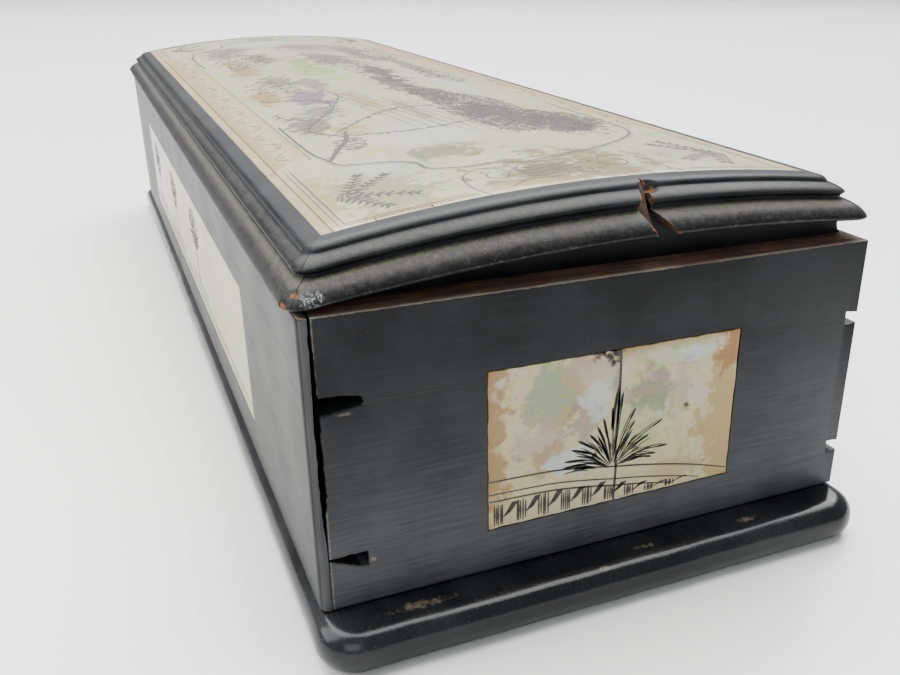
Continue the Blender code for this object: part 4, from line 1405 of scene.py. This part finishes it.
def build_end_engraving():
    """A palm over arched ground lines and a hatched band, on both ends."""
    for side, place in (("right", on_right_end), ("left", on_left_end)):
        pen = Cutter(place, 5)
        foot = Vector(PALM_FOOT)
        for tip in PALM_TIPS:
            tip = Vector(tip)
            lean = tip - foot
            left = tip.x < 0.4
            bow = Vector((0, 0.8)) if abs(lean.x) > 3 else Vector((0.15, 0))
            stroke = smooth_line((foot + lean * 0.08, foot + lean * 0.5 + bow, tip), 0.5)
            pen.line(stroke, 0.7, (0.5, 0.3))
            share, width = (0.52, 1.55) if left else (0.7, 1.25)
            pen.line(stroke[int(len(stroke) * share):], width, (0.1, 0.05))
            if not left:
                beside = [point + Vector((-0.25, 0.4)) for point in stroke[int(len(stroke) * 0.4):-2]]
                pen.line(beside, 0.6, (0.2, 0.2))
        for _ in range(64):
            angle = math.radians(pen.random.uniform(4, 176))
            near, far = pen.random.uniform(0.8, 4.2), pen.random.uniform(4.6, 8.2)
            across = Vector((1.15 * math.cos(angle), 0.95 * math.sin(angle)))
            middle = foot + across * (near + far) / 2 + Vector((0, 0.3))
            width = pen.random.uniform(0.6, 1.1) if across.x < 0 else pen.random.uniform(0.4, 0.8)
            frond = (foot + across * near, middle, foot + across * far)
            pen.line(smooth_line(frond, 0.8), width, (0.2, 0.1))
        for shift in (-0.9, -0.5, 0.35):
            pen.leaf((shift + 0.9, 29.5), (1.25 + shift * 0.3, 37.5), 1.2, 0.01)
        pen.curve(((1.2, 43.9), (1.3, 36), (1, 28), (1.3, 22.5), (1.15, 16)), 2, width=1.35, taper=(1, 1))
        for level, width in ((0, 1), (2.4, 0.8), (3.7, 1)):
            points = [p for p in ground(level) if p[1] > PLATE_LOW_Z + 0.4]
            pen.curve(points, 1, width=width, taper=(0.8, 0.6))
        for i in range(10):
            low_u = -21.4 + 4.1 * i
            high_v = min(b for a, b in ground(4.1) if a <= max(low_u, -22)) if i else 20.4
            if high_v - PLATE_LOW_Z < 1.2:
                break
            pen.hatch((low_u, PLATE_LOW_Z + 0.25), (low_u + 1.9, high_v), 5, 1.05)
            low_v = PLATE_LOW_Z + 0.25 + 0.35 * (high_v - PLATE_LOW_Z)
            for k in range(6):
                start = low_u + 1.9 + 0.22 * k
                pen.line([(start, low_v + 0.12 * k), (start + 1.6, high_v - 0.2)], 0.85, (0.6, 0.6))
        pen.piece(f"{side}_end_engraving", "case")


def build_front_engraving():
    """Thin lines along the front plates and grey shapes on the middle ones."""
    pen = Cutter(on_front, 11)
    low, high = PLATE_LOW_Z, PLATE_HIGH_Z
    for level in (2.2, 3.4):
        pen.line([(u, low + level + 0.15 * math.sin(u * 0.21)) for u in spread(-99, 99.2, 2)], 0.9)
    for i, centre in enumerate((-78, -27, 22)):
        base = low + 4
        pen.curve(((centre, base), (centre + 1, base + 8), (centre - 0.5, base + 16)), 1, width=2.4)
        turns = [k * 0.7 for k in range(9)]
        crown = [(centre + 9 * math.cos(a), base + 15.5 + 5.5 * math.sin(a)) for a in turns]
        pen.foliage(crown, 1.15, 1.7, 1.5)
        for k in range(7):
            u = centre - 14 + 4.5 * k
            pen.curve(((u, base), (u + 1.6, base + 2.6), (u + 3.6, base + 0.2)), 0.8, width=0.8)
    pen.piece("front_engraving", "case")


CARTOUCHE = (
    (60, -33), (78, -33.2), (92, -33), (99, -32), (105, -31), (107.5, -28), (110, -23.5), (112.5, -20.5),
    (115.5, -19.2), (119.5, -19), (122, -16), (123.2, -12), (123.6, -7), (125.2, -3), (124.2, 2.5),
    (121.5, 9), (119.5, 14), (116, 19), (111, 25), (103, 31), (92, 33), (60, 33.2),
)
FOLIAGE_MASS = (
    (20, 8), (39, 15), (55, 22), (69, 21), (75, 29), (84, 33), (90, 31), (101, 22),
    (101, 15), (97, 13.5), (98, 8), (93, 5), (82, 3), (70, 3), (54, 4), (36, 5),
)


def build_lid_engraving():
    """A lobed frame round a landscape of trees and hills, flower sprays, scrolls and border lines."""
    pen = Cutter(on_lid, 23)
    for sign in (1, -1):
        pen.curve([(sign * u, v) for u, v in CARTOUCHE], 1.2, width=1.7, taper=(0.9, 0.9))
        outside = [(sign * u + sign * 0.9, v * 1.02) for u, v in CARTOUCHE[2:-2]]
        pen.curve(outside, 1.2, width=0.5)
        for v_sign in (-1, 1):
            edge_v = v_sign * 39.4
            pen.line([(sign * u, edge_v + 0.05 * math.sin(u * 0.5)) for u in spread(100.5, 141, 1.5)], 0.8)
            pen.line([(sign * u, edge_v + v_sign * 0.9) for u in spread(100.5, 142, 1.5)], 0.55)
        for u, width in ((140.6, 0.9), (141.5, 0.55)):
            for low, high in ((-39.5, -18), (18, 39.5)):
                pen.line([(sign * (u + 0.1 * math.sin(v)), v) for v in spread(low, high, 1.5)], width)
        for v_sign in (-1, 1):
            flower_spray(pen, sign, v_sign)
        medallion(pen, sign)
    trees(pen)
    pen.foliage(list(FOLIAGE_MASS), 1, 2.6, 1.3, (-20, 60))
    hills(pen)
    side_scrolls(pen)
    pen.piece("lid_engraving", "lid")


def flower_spray(pen, sign, v_sign):
    """Two curling sprigs of pointed leaves that meet at three small berries."""
    def at(u, v):
        return sign * u, v_sign * v

    foot = (127, 35.4)
    for tip_u, tip_v, bow in ((115.5, 30.5, 1.2), (118.5, 26.6, 0.8), (136.5, 31.5, -1), (133, 26, -0.8)):
        middle = ((foot[0] + tip_u) / 2 + bow, (foot[1] + tip_v) / 2 + 0.6)
        stem = smooth_line([foot, middle, (tip_u, tip_v)], 1.5)
        pen.line([at(p.x, p.y) for p in stem], 0.8, (0.8, 0.3))
        for i, p in enumerate(stem[1:]):
            along = (Vector((tip_u, tip_v)) - Vector(foot)).normalized()
            for turn in (-1, 1):
                across = Vector((-along.y, along.x)) * turn
                tip = p + along * 1.3 + across * (1.9 - 0.12 * i)
                pen.leaf(at(p.x, p.y), at(tip.x, tip.y), 1.8, 0.12 * turn)
    for u, v in ((126, 36.2), (127.3, 36.6), (128.6, 36.2)):
        pen.ring(at(u, v), 0.5, 0.9)


# Scrolls of the right medallion, each its points, its step and its width
MEDALLION_SCROLLS = (
    (((143, -16.5), (137, -17.5), (130, -16.5), (126.5, -13), (127.5, -9.5), (131, -8.6)), 1, 0.8),
    (((131, -8.6), (134, -10), (133.4, -12.6), (130.8, -12.6), (129.8, -11.2)), 0.7, 0.9),
    (((131.5, -7.5), (127, -5), (126.4, 0), (127, 5), (131, 8)), 1, 0.9),
    (((131, 8), (134, 9.6), (134.2, 12.4), (131.4, 13.2), (129.9, 11.6)), 0.7, 0.9),
    (((143, 16.5), (137, 17.8), (130, 17), (126.5, 13.4), (127.5, 10), (131, 8.6)), 1, 0.7),
    (((140.4, -12), (138.4, -9.5), (137.4, -7), (138, -3), (137.2, 1), (138.6, 5)), 1, 1),
)


def medallion(pen, sign):
    """Scrolls round two hatched shields in the middle of an end."""
    def at(points):
        return [(sign * u, v) for u, v in points]

    for points, step, width in MEDALLION_SCROLLS:
        pen.curve(at(points), step, width=width)
    for k in range(4):
        u = 128.6 + 2.2 * k
        wave = ((u, -7.2), (u + 1.2, -4.6), (u + 0.2, -2.2), (u + 1.4, 0.4), (u + 0.4, 3))
        pen.curve(at(wave), 0.8, width=0.9)
    for k in range(16):
        v = -7 + 0.62 * k
        stroke = ((129 + 0.4 * (k % 3), v), (133.6, v + 0.35), (136.8 - 0.5 * (k % 2), v + 0.5))
        pen.line(at(stroke), 0.55, (0.4, 0.4))
    for k in range(8):
        turn = 0.8 * k
        u, v = 133 + 2.6 * math.cos(turn), 5.6 + 2 * math.sin(turn)
        tip = (u + 1.6 * math.cos(turn + 0.8), v + 1.4 * math.sin(turn + 0.8))
        pen.leaf(*at(((u, v), tip)), 1.6)


def trees(pen):
    """A forked trunk leaning over the water, with small twigs."""
    limbs = (
        (((101, -31.5), (93, -28), (86, -24.5), (77, -22.5)), 3.2),
        (((82, -24), (71, -28.5), (60, -24), (51, -19), (43, -16)), 2.2),
        (((44, -17), (34, -18.5), (24, -30)), 1.6),
        (((77, -24), (71, -19), (61, -10), (59, -5), (59, 3)), 1.5),
        (((82, -23), (85, -16), (86, -7), (82, 4)), 1.7),
        (((43, -16), (30, -12), (14, -14)), 1.3),
        (((60, -24), (54, -29), (46, -31)), 1.2),
    )
    for points, width in limbs:
        pen.curve(points, 1.4, width=width, taper=(0.8, 0.3))
        for point in smooth_line(points, 3.4)[1:]:
            for _ in range(3):
                angle = pen.random.uniform(0, 2 * math.pi)
                reach = pen.random.uniform(0.8, 2.2)
                tip = (point.x + reach * math.cos(angle), point.y + reach * math.sin(angle))
                pen.leaf(point, tip, 1.2)
    twigs = [(84, -23), (92, -22), (96, -26), (92, -29), (85, -28)]
    pen.foliage(twigs, 1.1, 1.8, 1.1, (20, 80))


def hills(pen):
    """Long hill lines, water and distant banks drawn with fine parallel strokes."""
    for k in range(7):
        u, v = 58 - 3 * k, 5 - 2.6 * k
        slope = ((u + 44, v + 2), (u + 26, v + 0.6), (u + 8, v - 1.5), (u - 10, v - 4))
        pen.curve(slope, 2.4, width=0.55)
    for k in range(9):
        u = -88 + 22 * k
        v = 14 * math.sin(k * 1.7)
        ridge = ((u - 12, v - 6), (u - 5, v + 1), (u + 2, v + 4.5), (u + 9, v + 0.5), (u + 14, v - 5.5))
        if u < 10:
            pen.curve(ridge, 1.8, width=1.1)
            for j in range(8):
                a = u - 8 + 2.4 * j
                pen.line([(a, v - 2.5 + 0.5 * (j % 3)), (a + 2.6, v - 5)], 0.6, (0.4, 0.4))
    banks = (
        [(-60, 10), (-30, 16), (-8, 12), (-4, 4), (-30, 0), (-56, 2)],
        [(-92, -20), (-70, -12), (-44, -16), (-40, -26), (-66, -30), (-90, -28)],
        [(-12, -22), (8, -16), (22, -20), (12, -29), (-8, -30)],
        [(-96, 18), (-70, 24), (-44, 22), (-52, 30), (-88, 31)],
        [(-20, 22), (6, 20), (20, 26), (8, 31), (-16, 30)],
    )
    for outline in banks:
        pen.foliage(outline, 2, 2.1, 1.5, (0, 180))


def side_scrolls(pen):
    """Faint curling leaves along the side plates."""
    for v_sign in (-1, 1):
        for k in range(17):
            u = -93 + 11.4 * k
            v = v_sign * 37.8
            turn = 1 if k % 2 else -1
            offsets = ((-4.6, -1.4), (0, 1.7), (4.2, -0.6), (2.4, -1.6))
            pen.curve([(u + a, v + b * turn) for a, b in offsets], 0.9, width=0.55)
            for j in range(3):
                a = u - 3 + 2.4 * j
                pen.leaf((a, v), (a + 1.5, v + 1.2 * turn), 0.9)


def build_case_marks():
    """The fine crack in the right end board, from the upper socket to the pearl."""
    pen = Cutter(on_right_end, 31)
    z = BASE_TOP + 35
    points = ((END_FRONT_Y + 6.6, z), (-38, z + 0.25), (-28, z + 0.1), (END_PLATE_LOW_Y - 0.2, z - 0.1))
    pen.line(rough(points, 0.8, 0.05, 3), 0.9, (1, 0.6))
    thing = pen.form.plain_object("end_board_crack", materials("gap"))
    settle(thing, "case", (), 60)


# ---- Hinges ----


def build_hinges():
    """Brass butt hinges: leaves, knuckles, pins and screws keep their nodes and get their finish."""
    brass = materials("brass")[0]
    for name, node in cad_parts.items():
        if "_hinge_" in name:
            node.data.materials.clear()
            node.data.materials.append(brass)


# ---- Stage ----


TABLE_RADIUS = 2600
CAMERA_PLACE = (275.6, -72.4, 103)
CAMERA_AIM = (-0.83635, 0.37739, -0.39762)
CAMERA_ROLL = 0.438
CAMERA_SHIFT = (-0.0724, 0.0257)


def build_stage():
    """A plain pale table, soft lights and the camera."""
    stage = bpy.context.scene.inlaid_box_stage
    scene = bpy.context.scene
    form = Form()
    form.face([form.point((u, v, 0)) for u, v in arc((0, 0), TABLE_RADIUS, 0, 360, 64)[:-1]])
    floor = form.plain_object("table", materials("table"))
    world = bpy.data.worlds.new("soft_sky")
    world.use_nodes = True
    sky = world.node_tree.nodes["Background"]
    sky.inputs["Color"].default_value = (*stage.sky, 1)
    sky.inputs["Strength"].default_value = stage.sky_strength
    scene.world = world
    lamps = (
        ("window", (-300, -900, 700), (900, 900), 14),
        ("ceiling", (-700, 300, 1700), (2600, 2600), 190),
        ("fill", (900, -500, 500), (600, 600), 3),
    )
    for name, place, size, power in lamps:
        light = bpy.data.lights.new(name, "AREA")
        light.shape = "RECTANGLE"
        light.size, light.size_y = size[0] * MM, size[1] * MM
        light.energy = power
        lamp = bpy.data.objects.new(name, light)
        lamp.location = Vector(place) * MM
        lamp.rotation_mode = "QUATERNION"
        lamp.rotation_quaternion = (-Vector(place)).to_track_quat("-Z", "Y")
        scene.collection.objects.link(lamp)
    eye = bpy.data.cameras.new("camera")
    eye.sensor_width = 36
    eye.lens = stage.lens
    eye.shift_x, eye.shift_y = CAMERA_SHIFT
    eye.clip_start = 0.01
    eye.clip_end = 10
    camera = bpy.data.objects.new("camera", eye)
    camera.location = Vector(CAMERA_PLACE) * MM
    camera.rotation_mode = "QUATERNION"
    roll = Quaternion((0, 0, 1), math.radians(CAMERA_ROLL))
    camera.rotation_quaternion = Vector(CAMERA_AIM).to_track_quat("-Z", "Y") @ roll
    scene.collection.objects.link(camera)
    scene.camera = camera


# ---- Operators and panel ----


class INLAIDBOX_OT_stage(bpy.types.Operator):
    """Make the table, the lights and the camera"""

    bl_idname = "inlaid_box.stage"
    bl_label = "Stage"

    def execute(self, context):
        build_stage()
        return {"FINISHED"}


class INLAIDBOX_OT_base(bpy.types.Operator):
    """Make the rounded base plate"""

    bl_idname = "inlaid_box.base"
    bl_label = "Base Plate"

    def execute(self, context):
        build_base()
        return {"FINISHED"}


class INLAIDBOX_OT_boards(bpy.types.Operator):
    """Make the front, back and end boards"""

    bl_idname = "inlaid_box.boards"
    bl_label = "Boards"

    def execute(self, context):
        build_long_boards()
        build_end_boards()
        return {"FINISHED"}


class INLAIDBOX_OT_lid(bpy.types.Operator):
    """Make the lid's panel and its moulded rails"""

    bl_idname = "inlaid_box.lid"
    bl_label = "Lid"

    def execute(self, context):
        build_panel()
        build_rails()
        return {"FINISHED"}


class INLAIDBOX_OT_pearl(bpy.types.Operator):
    """Lay the pearl plates"""

    bl_idname = "inlaid_box.pearl"
    bl_label = "Pearl"

    def execute(self, context):
        build_case_pearl()
        build_lid_pearl()
        return {"FINISHED"}


class INLAIDBOX_OT_engraving(bpy.types.Operator):
    """Cut and fill the engraved lines"""

    bl_idname = "inlaid_box.engraving"
    bl_label = "Engraving"

    def execute(self, context):
        build_end_engraving()
        build_front_engraving()
        build_lid_engraving()
        build_case_marks()
        return {"FINISHED"}


class INLAIDBOX_OT_hinges(bpy.types.Operator):
    """Finish the brass hinges"""

    bl_idname = "inlaid_box.hinges"
    bl_label = "Hinges"

    def execute(self, context):
        build_hinges()
        return {"FINISHED"}


OPERATORS = (
    INLAIDBOX_OT_stage,
    INLAIDBOX_OT_base,
    INLAIDBOX_OT_boards,
    INLAIDBOX_OT_lid,
    INLAIDBOX_OT_pearl,
    INLAIDBOX_OT_engraving,
    INLAIDBOX_OT_hinges,
)


class INLAIDBOX_PT_build(bpy.types.Panel):
    """The sizes and colours of the box, and a button for each group of pieces"""

    bl_label = "Inlaid Box"
    bl_space_type = "VIEW_3D"
    bl_region_type = "UI"
    bl_category = "Inlaid Box"

    def draw(self, context):
        for maker in OPERATORS:
            self.layout.operator(maker.bl_idname)
        for name in SETTINGS:
            group = getattr(context.scene, name)
            for field in group.__annotations__:
                self.layout.prop(group, field)


SETTINGS = {
    "inlaid_box_wood": WoodSettings,
    "inlaid_box_pearl": PearlSettings,
    "inlaid_box_brass": BrassSettings,
    "inlaid_box_stage": StageSettings,
}


def register():
    for name, group in SETTINGS.items():
        bpy.utils.register_class(group)
        setattr(bpy.types.Scene, name, bpy.props.PointerProperty(type=group))
    for made in (*OPERATORS, INLAIDBOX_PT_build):
        bpy.utils.register_class(made)


def unregister():
    for made in (INLAIDBOX_PT_build, *reversed(OPERATORS)):
        bpy.utils.unregister_class(made)
    for name, group in SETTINGS.items():
        delattr(bpy.types.Scene, name)
        bpy.utils.unregister_class(group)


def main():
    register()
    for maker in OPERATORS:
        group, name = maker.bl_idname.split(".")
        getattr(getattr(bpy.ops, group), name)()


if __name__ == "__main__":
    main()
